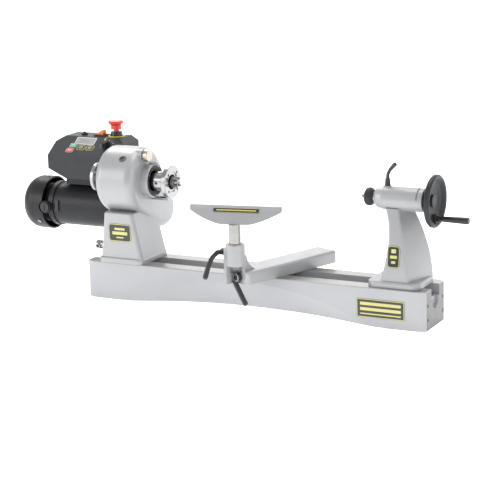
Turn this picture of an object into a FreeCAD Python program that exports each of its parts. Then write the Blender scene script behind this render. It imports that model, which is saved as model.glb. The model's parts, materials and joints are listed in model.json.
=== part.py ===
"""Bench wood lathe, one STEP per sub-part.

X runs along the bed towards the tailstock, Y away from the operator, Z up, in millimetres.
The origin is the centre of the bed's underside. Heights called "above the ways" start at WAY_TOP.
"""
import FreeCAD, Part

import math
import os

from FreeCAD import Placement, Rotation, Vector

# ---- driving dimensions -------------------------------------------------------------------
BED_LENGTH = 800.0
BED_WIDTH = 116.0
BED_HEIGHT = 83.0
WAY_GAP = 46.0
WAY_THICKNESS = 20.0
CENTRE_HEIGHT = 178.0

WAY_TOP = BED_HEIGHT
AXIS_Z = WAY_TOP + CENTRE_HEIGHT
HALF_LENGTH = BED_LENGTH / 2
HALF_WIDTH = BED_WIDTH / 2
FIT = 0.05            # radial running fit of a shaft in its bore
GAP = 0.3             # clearance between moving faces

SWIVEL_X = -314.0     # headstock swivel axis
DRUM_LEFT, DRUM_RIGHT, DRUM_R, DRUM_ROUND = -366.0, -268.0, 73.0, 20.0
MOTOR_Y, MOTOR_Z = 85.0, AXIS_Z - 87.0
PULLEY_STEPS = ((47.0, 14.0), (41.0, 20.0), (35.0, 26.0))   # spindle radius, motor radius
STEP_WIDTH, FLANGE = 14.0, 1.2
BELT_STEP, BELT_SIDE_GAP = 1, 0.4

BANJO_ANGLE = 69.0    # arm direction in plan, from +X
BANJO_PIVOT = Vector(54.0, 0.0, WAY_TOP)
TAIL_X = 324.0

PARTS = {}


# ---- small builders -----------------------------------------------------------------------
def box(x0, x1, y0, y1, z0, z1):
    return Part.makeBox(x1 - x0, y1 - y0, z1 - z0, Vector(x0, y0, z0))


def rod(start, end, r):
    """Cylinder between two points."""
    line = Vector(*end) - Vector(*start)
    return Part.makeCylinder(r, line.Length, Vector(*start), line)


def cone(start, end, r0, r1):
    """Cone between two points, r0 at the start."""
    line = Vector(*end) - Vector(*start)
    return Part.makeCone(r0, r1, line.Length, Vector(*start), line)


def rod_x(x0, x1, r, y=0.0, z=AXIS_Z):
    return rod((x0, y, z), (x1, y, z), r)


def cone_x(x0, x1, r0, r1, y=0.0, z=AXIS_Z):
    return cone((x0, y, z), (x1, y, z), r0, r1)


def ring_x(x0, x1, outer, inner, y=0.0, z=AXIS_Z):
    return rod_x(x0, x1, outer, y, z).cut(rod_x(x0 - 1, x1 + 1, inner, y, z))


def polygon(points):
    return Part.Face(Part.makePolygon([Vector(*p) for p in points + points[:1]]))


def turned_x(profile, y=0.0, z=AXIS_Z):
    """Solid of revolution about an axis parallel to X; the profile is (x, radius) points."""
    face = polygon([(x, y, z + r) for x, r in profile])
    return face.revolve(Vector(0, y, z), Vector(1, 0, 0), 360)


def fuse(shapes):
    return shapes[0].multiFuse(shapes[1:]).removeSplitter()


def edges_where(shape, test):
    return [e for e in shape.Edges if test(e)]


def vertical(edge, tolerance=0.02):
    if not isinstance(edge.Curve, (Part.Line, Part.LineSegment)) or edge.Length < 1:
        return False
    a, b = edge.Vertexes[0].Point, edge.Vertexes[-1].Point
    return math.hypot(a.x - b.x, a.y - b.y) < tolerance * abs(a.z - b.z)


def at_height(edge, z, tolerance=0.01):
    return all(abs(v.Point.z - z) < tolerance for v in edge.Vertexes)


def across_x(edge, x):
    """True for a round edge whose centre lies in the plane X = x."""
    return abs(edge.CenterOfMass.x - x) < 0.01


def softened(shape, edges, radius, chamfer=False):
    """Fillet or chamfer that falls back to smaller radii if the full one can't be built."""
    for size in (radius, radius * 0.7, radius * 0.4):
        try:
            out = shape.makeChamfer(size, edges) if chamfer else shape.makeFillet(size, edges)
        except Part.OCCError:
            continue
        if out.isValid() and out.Volume > 0:
            return out
    return shape


def rounded_section(corners, radius, z):
    """Closed wire of a rounded four-sided section at height z, for lofting."""
    pts = [Vector(x, y, z) for x, y in corners]
    n = len(pts)
    starts, ends, mids = [], [], []
    for i, p in enumerate(pts):
        before = (pts[i - 1] - p).normalize()
        after = (pts[(i + 1) % n] - p).normalize()
        half = before.getAngle(after) / 2
        reach = radius / math.tan(half)
        bisector = (before + after).normalize()
        centre = p + bisector * (radius / math.sin(half))
        starts.append(p + before * reach)
        ends.append(p + after * reach)
        mids.append(centre - bisector * radius)
    edges = []
    for i in range(n):
        edges.append(Part.Arc(starts[i], mids[i], ends[i]).toShape())
        edges.append(Part.LineSegment(ends[i], starts[(i + 1) % n]).toShape())
    return Part.Wire(edges)


def rectangle(x0, x1, y0, y1):
    return [(x0, y0), (x1, y0), (x1, y1), (x0, y1)]


def prism(wire, height):
    return Part.Face(wire).extrude(Vector(0, 0, height))


def belt_outline(x, big, small, y2, z2, z1=AXIS_Z):
    """Closed wire around two circles in the plane X = x: the first on the spindle axis."""
    a, b = Vector(x, 0, z1), Vector(x, y2, z2)
    line = b - a
    length = line.Length
    along = line / length
    across = Vector(0, -along.z, along.y)
    turn = math.acos((big - small) / length)
    upper = along * math.cos(turn) + across * math.sin(turn)
    lower = along * math.cos(turn) - across * math.sin(turn)
    back = along * -1
    return Part.Wire([
        Part.Arc(a + lower * big, a + back * big, a + upper * big).toShape(),
        Part.LineSegment(a + upper * big, b + upper * small).toShape(),
        Part.Arc(b + upper * small, b + along * small, b + lower * small).toShape(),
        Part.LineSegment(b + lower * small, a + lower * big).toShape(),
    ])


def hull_x(x0, x1, big, small, y2, z2):
    face = Part.Face(belt_outline(x0, big, small, y2, z2))
    return face.extrude(Vector(x1 - x0, 0, 0))


def bent_rod(points, radii):
    """Tapered rod through points: cones with balls at the joints."""
    solids = []
    for i in range(len(points) - 1):
        if abs(radii[i] - radii[i + 1]) < 1e-6:
            solids.append(rod(points[i], points[i + 1], radii[i]))
        else:
            solids.append(cone(points[i], points[i + 1], radii[i], radii[i + 1]))
    for p, r in list(zip(points, radii))[1:]:
        solids.append(Part.makeSphere(r, Vector(*p)))
    return fuse(solids)


def keep(name, shape):
    PARTS[name] = shape


# ---- bed ----------------------------------------------------------------------------------
ARCH_TOP, ARCH_FOOT, ARCH_CROWN_R = 67.0, 5.0, 600.0
ARCH_TURN = math.radians(22.5)
SKIRT_SLOPE = 0.3
UNDER_ARCH_HALF, UNDER_ARCH_RISE = 290.0, 12.0
BENCH_HOLE_X, BENCH_HOLE_Y, BENCH_HOLE_R = 360.0, 43.0, 4.25
END_TAP_Y, END_TAP_Z, END_TAP_R = 43.0, (22.0, 52.0), 4.25
END_CORNER_R, END_RECESS_R, END_RECESS_Z = 4.0, 17.0, 54.0


def bed_plan():
    """Plan outline: straight sides drawn in by an arc towards each end."""
    pull, start = 7.0, 28.0
    x1, x2 = HALF_LENGTH - start, HALF_LENGTH
    y1, y2 = HALF_WIDTH, HALF_WIDTH - pull
    radius = (start ** 2 + pull ** 2) / (2 * pull)
    swing = math.asin(start / radius) / 2
    xm, ym = x1 + radius * math.sin(swing), y1 - radius * (1 - math.cos(swing))
    edges = []
    corners = [(1, -1), (1, 1), (-1, 1), (-1, -1)]
    for i, (sx, sy) in enumerate(corners):
        a = Vector(sx * x1, sy * y1, 0)
        m = Vector(sx * xm, sy * ym, 0)
        b = Vector(sx * x2, sy * y2, 0)
        first, last = (a, b) if sx * sy < 0 else (b, a)
        edges.append(Part.Arc(first, m, last).toShape())
        nx, ny = corners[(i + 1) % 4]
        nxt = (Vector(nx * x1, ny * y1, 0), Vector(nx * x2, ny * y2, 0))
        start_next = nxt[0] if nx * ny < 0 else nxt[1]
        edges.append(Part.LineSegment(last, start_next).toShape())
    return Part.Wire(edges)


def skirt_cutter(side):
    """Wedge that cuts the side back below an arched line, sloping inwards as it goes down."""
    big = ARCH_CROWN_R
    drop = big * (1 - math.cos(ARCH_TURN))
    small = (ARCH_TOP - ARCH_FOOT - drop) / (1 - math.cos(ARCH_TURN))
    x1 = big * math.sin(ARCH_TURN)
    x2 = x1 + small * math.sin(ARCH_TURN)

    def crown(angle):
        return Vector(big * math.sin(angle), 0, ARCH_TOP - big * (1 - math.cos(angle)))

    def foot(sign, angle):
        return Vector(sign * (x2 - small * math.sin(angle)), 0,
                      ARCH_FOOT + small * (1 - math.cos(angle)))

    half = ARCH_TURN / 2
    line = Part.Wire([
        Part.Arc(foot(-1, 0), foot(-1, half), foot(-1, ARCH_TURN)).toShape(),
        Part.Arc(crown(-ARCH_TURN), crown(0), crown(ARCH_TURN)).toShape(),
        Part.Arc(foot(1, ARCH_TURN), foot(1, half), foot(1, 0)).toShape(),
    ])
    line.translate(Vector(0, side * HALF_WIDTH, 0))
    reach = ARCH_TOP + 10
    wall = line.extrude(Vector(0, -side * SKIRT_SLOPE, -1) * reach)
    return [face.extrude(Vector(0, side * 40, 0)) for face in wall.Faces]


def make_bed():
    body = prism(bed_plan(), BED_HEIGHT)
    body = softened(body, edges_where(body, vertical), END_CORNER_R)
    body = softened(body, edges_where(body, lambda e: at_height(e, BED_HEIGHT)), 1.5, True)
    for side in (-1, 1):
        body = body.cut(skirt_cutter(side))
    radius = (UNDER_ARCH_HALF ** 2 + UNDER_ARCH_RISE ** 2) / (2 * UNDER_ARCH_RISE)
    body = body.cut(rod((0, -100, UNDER_ARCH_RISE - radius), (0, 100, UNDER_ARCH_RISE - radius), radius))
    wall, end_wall = 12.0, 14.0
    inner = box(-HALF_LENGTH + end_wall, HALF_LENGTH - end_wall, -HALF_WIDTH + wall + 14,
                HALF_WIDTH - wall - 14, -1, BED_HEIGHT - WAY_THICKNESS)
    upper = box(-HALF_LENGTH + end_wall, HALF_LENGTH - end_wall, -HALF_WIDTH + wall,
                HALF_WIDTH - wall, BED_HEIGHT - WAY_THICKNESS - 28, BED_HEIGHT - WAY_THICKNESS)
    slot = box(-HALF_LENGTH - 1, HALF_LENGTH + 1, -WAY_GAP / 2, WAY_GAP / 2,
               BED_HEIGHT - WAY_THICKNESS - 2, BED_HEIGHT + 1)
    body = body.cut([inner, upper, slot])
    ribs = [box(x - 5, x + 5, -HALF_WIDTH + 22, HALF_WIDTH - 22, 12, 34) for x in (-240, -80, 80, 240)]
    body = fuse([body] + ribs)
    holes = [rod((x, y, -1), (x, y, 28), BENCH_HOLE_R)
             for x in (-BENCH_HOLE_X, BENCH_HOLE_X) for y in (-BENCH_HOLE_Y, BENCH_HOLE_Y)]
    taps = [rod((HALF_LENGTH - 25, y, z), (HALF_LENGTH + 1, y, z), END_TAP_R)
            for y in (-END_TAP_Y, END_TAP_Y) for z in END_TAP_Z]
    recess = rod_x(HALF_LENGTH - 7, HALF_LENGTH + 1, END_RECESS_R, 0, END_RECESS_Z)
    keep("bed_casting", body.cut(holes + taps + [recess]))


# ---- clamps under the ways ----------------------------------------------------------------
CLAMP_TOP = WAY_TOP - WAY_THICKNESS - 0.2
CLAMP_THICK = 12.0
NUT_TOP = -(WAY_THICKNESS + 0.2 + CLAMP_THICK + 0.2)     # below the ways
NUT_BOTTOM = NUT_TOP - 13.0


def clamp_plate(x, half_x, hole_r):
    z0 = CLAMP_TOP - CLAMP_THICK
    plate = box(x - half_x, x + half_x, -38, 38, z0, CLAMP_TOP)
    plate = softened(plate, edges_where(plate, vertical), 6)
    guide = box(x - half_x + 6, x + half_x - 6, -WAY_GAP / 2 + GAP, WAY_GAP / 2 - GAP,
                CLAMP_TOP, CLAMP_TOP + 8)
    return fuse([plate, guide]).cut(rod((x, 0, z0 - 1), (x, 0, CLAMP_TOP + 9), hole_r))


def nut(x, z0, z1, r, hole_r):
    points = [(x + r * math.cos(math.radians(60 * i)), r * math.sin(math.radians(60 * i)), z0)
              for i in range(6)]
    return polygon(points).extrude(Vector(0, 0, z1 - z0)).cut(rod((x, 0, z0 - 1), (x, 0, z1 + 1), hole_r))


# ---- headstock casting --------------------------------------------------------------------
BASE_TOP = WAY_TOP + 13
PEDESTAL_TOP = WAY_TOP + 113
LOBE_Y, LOBE_Z, LOBE_R = 84.0, WAY_TOP + 97, 41.0
CHAMBER_LEFT, CHAMBER_RIGHT = -352.0, -298.0
PULLEY_LEFT = CHAMBER_LEFT + 6
BOSS_R, BOSS_END = 37.0, -250.0
FRONT_BEARING = (31.0, 15.0, -284.0, -268.0)      # outer r, bore r, x range
REAR_BEARING = (23.5, 12.5, -366.0, -354.0)
INDEX_Y, INDEX_Z, INDEX_R = -15.0, AXIS_Z + 58, 2.5
INDEX_RING_R, INDEX_HOLES = 64.0, 24
PLUG_X, PLUG_R, PLUG_ANGLE = -301.0, 8.5, math.radians(48)
INDEX_FACE, INDEX_TRAVEL = DRUM_RIGHT + 0.5, 4.0
LOCK_SHAFT_Y, LOCK_SHAFT_Z = -22.0, WAY_TOP + 29


def door_frame():
    """Origin, downhill direction and outward normal of the flat upper back of the belt housing."""
    line = Vector(0, LOBE_Y, LOBE_Z - AXIS_Z)
    length = line.Length
    along = line / length
    across = Vector(0, -along.z, along.y)
    turn = math.acos((DRUM_R - LOBE_R) / length)
    normal = along * math.cos(turn) + across * math.sin(turn)
    downhill = Vector(0, normal.z, -normal.y)
    return Vector(0, 0, AXIS_Z) + normal * DRUM_R, downhill, normal


def sloped_block(x0, x1, s0, s1, n0, n1):
    """Block in the door's frame: s runs downhill from the drum, n outwards from the flat."""
    origin, downhill, normal = door_frame()
    corner = origin + downhill * s0 + normal * n0 + Vector(x0, 0, 0)
    face = Part.Face(Part.makePolygon([
        corner, corner + Vector(x1 - x0, 0, 0), corner + Vector(x1 - x0, 0, 0) + downhill * (s1 - s0),
        corner + downhill * (s1 - s0), corner]))
    return face.extrude(normal * (n1 - n0))


DOOR_X = (-346.0, -294.0)
DOOR_S = (8.0, 84.0)


def door_hinge():
    origin, downhill, normal = door_frame()
    return origin + downhill * (DOOR_S[1] + 8) + normal * 5


def make_headstock():
    base = prism(rounded_section(rectangle(-369, -257, -61, 61), 14, WAY_TOP), BASE_TOP - WAY_TOP)
    base = softened(base, edges_where(base, lambda e: at_height(e, BASE_TOP)), 6)
    pedestal = Part.makeLoft([
        rounded_section(rectangle(-364, -259, -57, 57), 9, BASE_TOP - 4),
        rounded_section(rectangle(-351, -279, -59, 50), 9, PEDESTAL_TOP),
    ], True)
    pedestal = softened(pedestal, edges_where(pedestal, lambda e: at_height(e, PEDESTAL_TOP)), 4)
    head = hull_x(DRUM_LEFT, DRUM_RIGHT, DRUM_R, LOBE_R, LOBE_Y, LOBE_Z)
    head = softened(head, edges_where(head, lambda e: across_x(e, DRUM_RIGHT)), DRUM_ROUND)
    head = softened(head, edges_where(head, lambda e: across_x(e, DRUM_LEFT)), DRUM_ROUND)
    boss = rod_x(DRUM_RIGHT - 30, BOSS_END, BOSS_R)
    boss = softened(boss, edges_where(boss, lambda e: across_x(e, BOSS_END)), 3)
    index_boss = rod_x(DRUM_RIGHT - 30, INDEX_FACE, 13, INDEX_Y, INDEX_Z)
    rib_outline = [(-262, 31), (-262, 41), (-248, 41), (-248, 45), (-235.5, 33.5), (-238.5, 31.5),
                   (-244, 37), (-247, 36), (-250.3, 36), (-250.3, 31)]
    rib = polygon([(x, -3, AXIS_Z + up) for x, up in rib_outline]).extrude(Vector(0, 7, 0))
    body = fuse([base, pedestal, head, boss, index_boss, rib])
    chamber = hull_x(CHAMBER_LEFT, CHAMBER_RIGHT, INDEX_RING_R + 2.5, 30, MOTOR_Y, MOTOR_Z)
    well = box(-341, -287, -40, 38, WAY_TOP + 14, WAY_TOP + 96)
    cuts = [
        chamber, well,
        sloped_block(DOOR_X[0] + 8, DOOR_X[1] - 8, DOOR_S[0] + 8, DOOR_S[1] - 8, -25, 1),
        rod_x(FRONT_BEARING[2] - 16, FRONT_BEARING[3], FRONT_BEARING[0] - 3),
        rod_x(FRONT_BEARING[2], BOSS_END + 1, FRONT_BEARING[0]),
        rod_x(REAR_BEARING[2] - 1, REAR_BEARING[3], REAR_BEARING[0]),
        rod_x(REAR_BEARING[3] - 1, CHAMBER_LEFT + 1, REAR_BEARING[0] - 3),
        rod_x(DRUM_LEFT - 1, CHAMBER_LEFT + 1, 27, MOTOR_Y, MOTOR_Z),
        rod_x(CHAMBER_RIGHT - 1, INDEX_FACE + 1, INDEX_R + FIT, INDEX_Y, INDEX_Z),
        rod_x(INDEX_FACE - 13, INDEX_FACE + 1, 8, INDEX_Y, INDEX_Z),
        rod((SWIVEL_X, 0, WAY_TOP - 1), (SWIVEL_X, 0, WAY_TOP + 15), 10 + FIT),
        rod_x(-370, -296, 8 + FIT, LOCK_SHAFT_Y, LOCK_SHAFT_Z),
        rod_x(DRUM_RIGHT - 16, DRUM_RIGHT + 1, 4.2, 15, AXIS_Z - 41.5),
        rod(on_drum_radius(DRUM_R + 1), on_drum_radius(DRUM_R - 34), PLUG_R),
    ]
    keep("headstock_casting", body.cut(cuts))
    peg = rod_x(DRUM_RIGHT - 16, -227, 4.2, 15, AXIS_Z - 41.5)
    keep("spindle_stop_peg", softened(peg, peg.Edges, 0.8, True))
    ring = turned_x([(-266, 23.2), (-266, 30.9), (BOSS_END, 30.9), (BOSS_END, 33.8), (BOSS_END + 2, 33.4),
                     (BOSS_END + 2, 30.0), (BOSS_END - 3, 24.5), (BOSS_END - 3, 23.2)])
    keep("nose_ring", ring)
    keep("front_plug", make_plug())


def on_drum_radius(distance):
    """Point on the plug's own axis, which runs out from the spindle axis towards the operator."""
    return (PLUG_X, -distance * math.cos(PLUG_ANGLE), AXIS_Z + distance * math.sin(PLUG_ANGLE))


def make_plug():
    """Round blanking plug pressed into the front of the drum, with a recess in its middle."""
    stem = rod(on_drum_radius(DRUM_R + 1), on_drum_radius(DRUM_R - 20), PLUG_R)
    skin = ring_x(PLUG_X - 20, PLUG_X + 20, DRUM_R + 0.6, DRUM_R - 9)
    recess = rod(on_drum_radius(DRUM_R + 2), on_drum_radius(DRUM_R - 3), PLUG_R - 2)
    return stem.common(skin).cut(recess)


def make_belt_door():
    x0, x1 = DOOR_X
    plate = sloped_block(x0, x1, DOOR_S[0], DOOR_S[1], 0.2, 4.2)
    lip = sloped_block(x0 + 8.6, x1 - 8.6, DOOR_S[0] + 8.6, DOOR_S[1] - 8.6, -3, 0.2)
    hinge = door_hinge()
    knuckle = rod((x0 + 12, hinge.y, hinge.z), (x1 - 12, hinge.y, hinge.z), 3.5)
    origin, downhill, normal = door_frame()
    start = origin + downhill * (DOOR_S[0] + 10) + normal * 4 + Vector((x0 + x1) / 2, 0, 0)
    knob = rod(tuple(start), tuple(start + normal * 10), 7)
    tongue = sloped_block(x0 + 12, x1 - 12, DOOR_S[1] - 1, DOOR_S[1] + 8, 2.2, 4.2)
    bore = rod((x0 - 20, hinge.y, hinge.z), (x1 + 20, hinge.y, hinge.z), 1.5 + FIT)
    keep("belt_door", fuse([plate, lip, knuckle, tongue, knob]).cut(bore))
    pin = rod((x0 + 1, hinge.y, hinge.z), (x1 - 1, hinge.y, hinge.z), 1.5)
    ears = []
    for a in (x0 + 1, x1 - 11):
        ear = rod((a, hinge.y, hinge.z), (a + 10, hinge.y, hinge.z), 3.5)
        foot = sloped_block(a, a + 10, DOOR_S[1] + 4.6, DOOR_S[1] + 11.4, 0, 5)
        ears.append(fuse([ear, foot]))
    hinge_solid = fuse([pin] + ears)
    keep("belt_door_hinge", hinge_solid.cut(hull_x(x0, x1, DRUM_R + 0.01, LOBE_R + 0.01, LOBE_Y, LOBE_Z)))


# ---- spindle ------------------------------------------------------------------------------
SPINDLE_LEFT, SPINDLE_RIGHT = -402.0, -222.0
FACEPLATE_FACE, FACEPLATE_R = -206.0, 36.5
FACEPLATE_PCD, FACEPLATE_HOLES, FACEPLATE_HOLE_R = 52.0, 4, 2.75
SPUR_TIP = -185.0
TAPER_MOUTH_R, TAPER_LENGTH, TAPER_SLOPE = 8.9, 60.0, 0.025


def make_spindle():
    outline = [(SPINDLE_LEFT, 0), (SPINDLE_LEFT, 10), (-388, 10), (-388, 12.5), (CHAMBER_LEFT, 12.5),
               (CHAMBER_LEFT, 15), (-266, 15), (-266, 19), (-246, 19), (-246, 16.5),
               (SPINDLE_RIGHT, 16.5), (SPINDLE_RIGHT, 0)]
    spindle = turned_x(outline)
    bore = rod_x(SPINDLE_LEFT - 1, SPINDLE_RIGHT, 5)
    taper = cone_x(SPINDLE_RIGHT - TAPER_LENGTH, SPINDLE_RIGHT, TAPER_MOUTH_R - TAPER_LENGTH * TAPER_SLOPE,
                   TAPER_MOUTH_R)
    keep("spindle", spindle.cut([bore, taper]))
    keep("spindle_bearings", Part.makeCompound([
        bearing(*FRONT_BEARING), bearing(*REAR_BEARING)]))
    pulley = stepped_pulley([s[0] for s in PULLEY_STEPS], 15.01, 0.0, AXIS_Z)
    keep("spindle_pulley", fuse([pulley, index_ring()]))
    keep("spindle_handwheel", make_spindle_handwheel())
    keep("faceplate", make_faceplate())
    keep("spur_centre", make_spur_centre())


def bearing(outer, bore, x0, x1):
    """Sealed ball bearing as one ring with a shallow race groove on each side."""
    ring = ring_x(x0, x1, outer - 0.01, bore + FIT)
    middle = (outer + bore) / 2
    grooves = [ring_x(x, x + 1.2, middle + 3, middle - 3) for x in (x0 - 0.2, x1 - 1.0)]
    return ring.cut(grooves)


def stepped_pulley(radii, bore, y, z):
    """Stepped poly-vee pulley with a thin flange between its steps."""
    solids = []
    for i, r in enumerate(radii):
        x0 = PULLEY_LEFT + i * STEP_WIDTH
        solids.append(rod_x(x0, x0 + STEP_WIDTH, r - FLANGE, y, z))
        solids.append(rod_x(x0, x0 + FLANGE, r, y, z))
        solids.append(rod_x(x0 + STEP_WIDTH - FLANGE, x0 + STEP_WIDTH, r, y, z))
    return fuse(solids).cut(rod_x(PULLEY_LEFT - 1, PULLEY_LEFT + 50, bore, y, z))


def index_ring():
    """Disc on the right end of the spindle pulley with a circle of indexing holes."""
    x0 = PULLEY_LEFT + len(PULLEY_STEPS) * STEP_WIDTH
    disc = ring_x(x0, x0 + 4, INDEX_RING_R, 15.01)
    radius = math.hypot(INDEX_Y, INDEX_Z - AXIS_Z)
    start = math.atan2(INDEX_Z - AXIS_Z, INDEX_Y)
    holes = []
    for i in range(INDEX_HOLES):
        a = start + i * 2 * math.pi / INDEX_HOLES
        y, z = radius * math.cos(a), AXIS_Z + radius * math.sin(a)
        holes.append(rod_x(x0 - 1, x0 + 5, INDEX_R + GAP, y, z))
    return disc.cut(holes)


def make_spindle_handwheel():
    return turned_x([(-401, 10.2), (-401, 14), (-397.5, 16), (-396.5, 26), (-399, 29), (-398, 31.5),
                     (-391.5, 32), (-389.5, 30), (-390.5, 18), (-388.3, 15), (-388.3, 10.2)])


def make_faceplate():
    rim = FACEPLATE_R
    plate = turned_x([(-245.5, 16.6), (-245.5, 21.5), (-245, 22), (-223, 22), (-219, 25), (-216.5, rim - 1),
                      (-215.5, rim), (-207, rim), (FACEPLATE_FACE, rim - 1), (FACEPLATE_FACE, 22),
                      (-208.5, 21), (-208.5, 16.6)])
    holes = []
    for i in range(FACEPLATE_HOLES):
        a = math.radians(45 + i * 360 / FACEPLATE_HOLES)
        y, z = FACEPLATE_PCD / 2 * math.cos(a), AXIS_Z + FACEPLATE_PCD / 2 * math.sin(a)
        holes.append(rod_x(-236, FACEPLATE_FACE + 1, FACEPLATE_HOLE_R, y, z))
    tommy = rod((-236, -30, AXIS_Z), (-236, 30, AXIS_Z), 4)
    grub = rod((-212, 0, AXIS_Z - 40), (-212, 0, AXIS_Z - 15), 3)
    return plate.cut(holes + [tommy, grub])


def make_spur_centre():
    shank_end = SPINDLE_RIGHT - TAPER_LENGTH + 4
    shank = cone_x(shank_end, SPINDLE_RIGHT, TAPER_MOUTH_R - 56 * TAPER_SLOPE - 0.03, TAPER_MOUTH_R - 0.03)
    head = rod_x(SPINDLE_RIGHT, -199, 12.5)
    prongs = []
    for i in range(4):
        a = math.radians(45 + 90 * i)
        wedge = polygon([(-199, -1.5, AXIS_Z + 3), (-199, -1.5, AXIS_Z + 12.5), (-190, -1.5, AXIS_Z + 12.5),
                         (-194, -1.5, AXIS_Z + 3)]).extrude(Vector(0, 3, 0))
        wedge.rotate(Vector(0, 0, AXIS_Z), Vector(1, 0, 0), math.degrees(a))
        prongs.append(wedge.common(rod_x(-200, -180, 12.5)))
    point = cone_x(-199, SPUR_TIP, 5, 0.3)
    return fuse([shank, head, point] + prongs)


# ---- motor --------------------------------------------------------------------------------
CAN_R, COVER_R, BELL_R = 48.5, 61.0, 51.0
CAN_LEFT, CAN_RIGHT = -543.0, -378.0
BRUSH_X = -560.0


def ring_m(x0, x1, outer, inner):
    return ring_x(x0, x1, outer, inner, MOTOR_Y, MOTOR_Z)


def make_motor():
    keep("motor_can", ring_m(CAN_LEFT, CAN_RIGHT, CAN_R, CAN_R - 3.5))
    front = rod_x(CAN_RIGHT, DRUM_LEFT, BELL_R + 1, MOTOR_Y, MOTOR_Z)
    front = softened(front, edges_where(front, lambda e: across_x(e, CAN_RIGHT)), 2)
    spigot = rod_x(DRUM_LEFT, DRUM_LEFT + 5, 26.8, MOTOR_Y, MOTOR_Z)
    keep("motor_front_bell", fuse([front, spigot]).cut(
        rod_x(CAN_RIGHT - 1, DRUM_LEFT + 6, 7 + FIT, MOTOR_Y, MOTOR_Z)))
    rear = ring_m(-556, CAN_LEFT - 2, BELL_R, CAN_R - 6)
    neck = ring_m(CAN_LEFT - 2, CAN_LEFT, CAN_R - 1.5, CAN_R - 6)
    plate = ring_m(-568, -556, 45, 7 + FIT)
    disc = ring_m(-556, -550, CAN_R - 6, 7 + FIT)
    bosses = [across_motor(side * 30, side * 58, 14) for side in (-1, 1)]
    holes = [across_motor(side * 17, side * 60, 8.05) for side in (-1, 1)]
    rear_bell = fuse([rear, neck, plate, disc] + bosses).cut(
        holes + [rod_x(-575, -540, 7 + FIT, MOTOR_Y, MOTOR_Z)])
    keep("motor_rear_bell", rear_bell)
    keep("brush_caps", Part.makeCompound([brush_cap(s) for s in (-1, 1)]))
    keep("carbon_brushes", Part.makeCompound([across_motor(side * 17.2, side * 42, 6) for side in (-1, 1)]))
    keep("motor_fan_cover", make_fan_cover())
    make_rotor()


def across_motor(y0, y1, r):
    """Cylinder along Y at the brushes; y0 and y1 are measured from the motor's axis."""
    return rod((BRUSH_X, MOTOR_Y + y0, MOTOR_Z), (BRUSH_X, MOTOR_Y + y1, MOTOR_Z), r)


def brush_cap(side):
    plug = across_motor(side * 42, side * 58, 8)
    head = across_motor(side * 58, side * 60.5, 11)
    slot_y = sorted((MOTOR_Y + side * 59, MOTOR_Y + side * 61))
    slot = box(BRUSH_X - 1, BRUSH_X + 1, slot_y[0], slot_y[1], MOTOR_Z - 7, MOTOR_Z + 7)
    return fuse([plug, head]).cut(slot)


def make_fan_cover():
    """Deep cup with a large rounded end, vent slots in the end and notches for the brush bosses."""
    right, left, corner, wall = -567.5, -630.0, 34.0, 3.0

    def cup(r, x_end, x_open, round_r):
        solid = rod_x(x_end, x_open, r, MOTOR_Y, MOTOR_Z)
        return softened(solid, edges_where(solid, lambda e: across_x(e, x_end)), round_r)

    shell = cup(COVER_R, left, right, corner).cut(cup(COVER_R - wall, left + wall, right + 1, corner - wall))
    cuts = []
    for i in range(5):
        y = MOTOR_Y + (i - 2) * 9.0
        half = math.sqrt(26.0 ** 2 - (y - MOTOR_Y) ** 2)
        cuts.append(box(left - 1, left + 6, y - 2.2, y + 2.2, MOTOR_Z - half, MOTOR_Z + half))
    notch = across_motor(-105, 115, 15)
    return shell.cut(cuts + [notch])


def make_rotor():
    shaft = fuse([rod_x(-598, -300, 7, MOTOR_Y, MOTOR_Z), rod_x(-520, -400, 34, MOTOR_Y, MOTOR_Z),
                  rod_x(-548, -524, 16, MOTOR_Y, MOTOR_Z)])
    keep("motor_rotor", shaft.cut([
        rod_x(-521, -399, 1.6, MOTOR_Y + 34 * math.cos(a), MOTOR_Z + 34 * math.sin(a))
        for a in [math.radians(30 * i) for i in range(12)]]))
    keep("motor_pulley", stepped_pulley([s[1] for s in PULLEY_STEPS], 7.01, MOTOR_Y, MOTOR_Z))
    hub = ring_m(-592, -580, 14, 7.01)
    disc = ring_m(-582, -580, 44, 13)
    blades = []
    for i in range(9):
        blade = box(-592, -581, MOTOR_Y - 0.8, MOTOR_Y + 0.8, MOTOR_Z + 12, MOTOR_Z + 43)
        blade.rotate(Vector(0, MOTOR_Y, MOTOR_Z), Vector(1, 0, 0), 40 * i)
        blades.append(blade)
    keep("motor_fan", fuse([hub, disc] + blades))


def make_belt():
    big, small = PULLEY_STEPS[BELT_STEP]
    x0 = PULLEY_LEFT + BELT_STEP * STEP_WIDTH + FLANGE + BELT_SIDE_GAP
    width = STEP_WIDTH - 2 * (FLANGE + BELT_SIDE_GAP)
    inner = Part.Face(belt_outline(x0, big - 0.9, small - 0.9, MOTOR_Y, MOTOR_Z))
    outer = Part.Face(belt_outline(x0, big + 2.6, small + 2.6, MOTOR_Y, MOTOR_Z))
    band = outer.extrude(Vector(width, 0, 0)).cut(inner.extrude(Vector(width, 0, 0)))
    keep("drive_belt", band)


# ---- control box --------------------------------------------------------------------------
BOX_LEFT, BOX_RIGHT, BOX_FRONT, BOX_BACK = -556.0, -376.0, 44.0, 150.0
BOX_BOTTOM, BOX_NOSE, BOX_TOP = 241.0, 293.0, 330.0
SLOPE_BACK = 98.0
PANEL_THICK = 3.0
PANEL_TILT = math.atan2(BOX_TOP - BOX_NOSE, SLOPE_BACK - BOX_FRONT)


def on_panel(x, s, lift=0.0):
    """Point on the sloping panel: s up the slope from its front edge, lift along its normal."""
    y = BOX_FRONT + s * math.cos(PANEL_TILT) - lift * math.sin(PANEL_TILT)
    z = BOX_NOSE + s * math.sin(PANEL_TILT) + lift * math.cos(PANEL_TILT)
    return Vector(x, y, z)


def panel_placement(x, s, lift=0.0):
    return Placement(on_panel(x, s, lift), Rotation(Vector(1, 0, 0), math.degrees(PANEL_TILT)))


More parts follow.
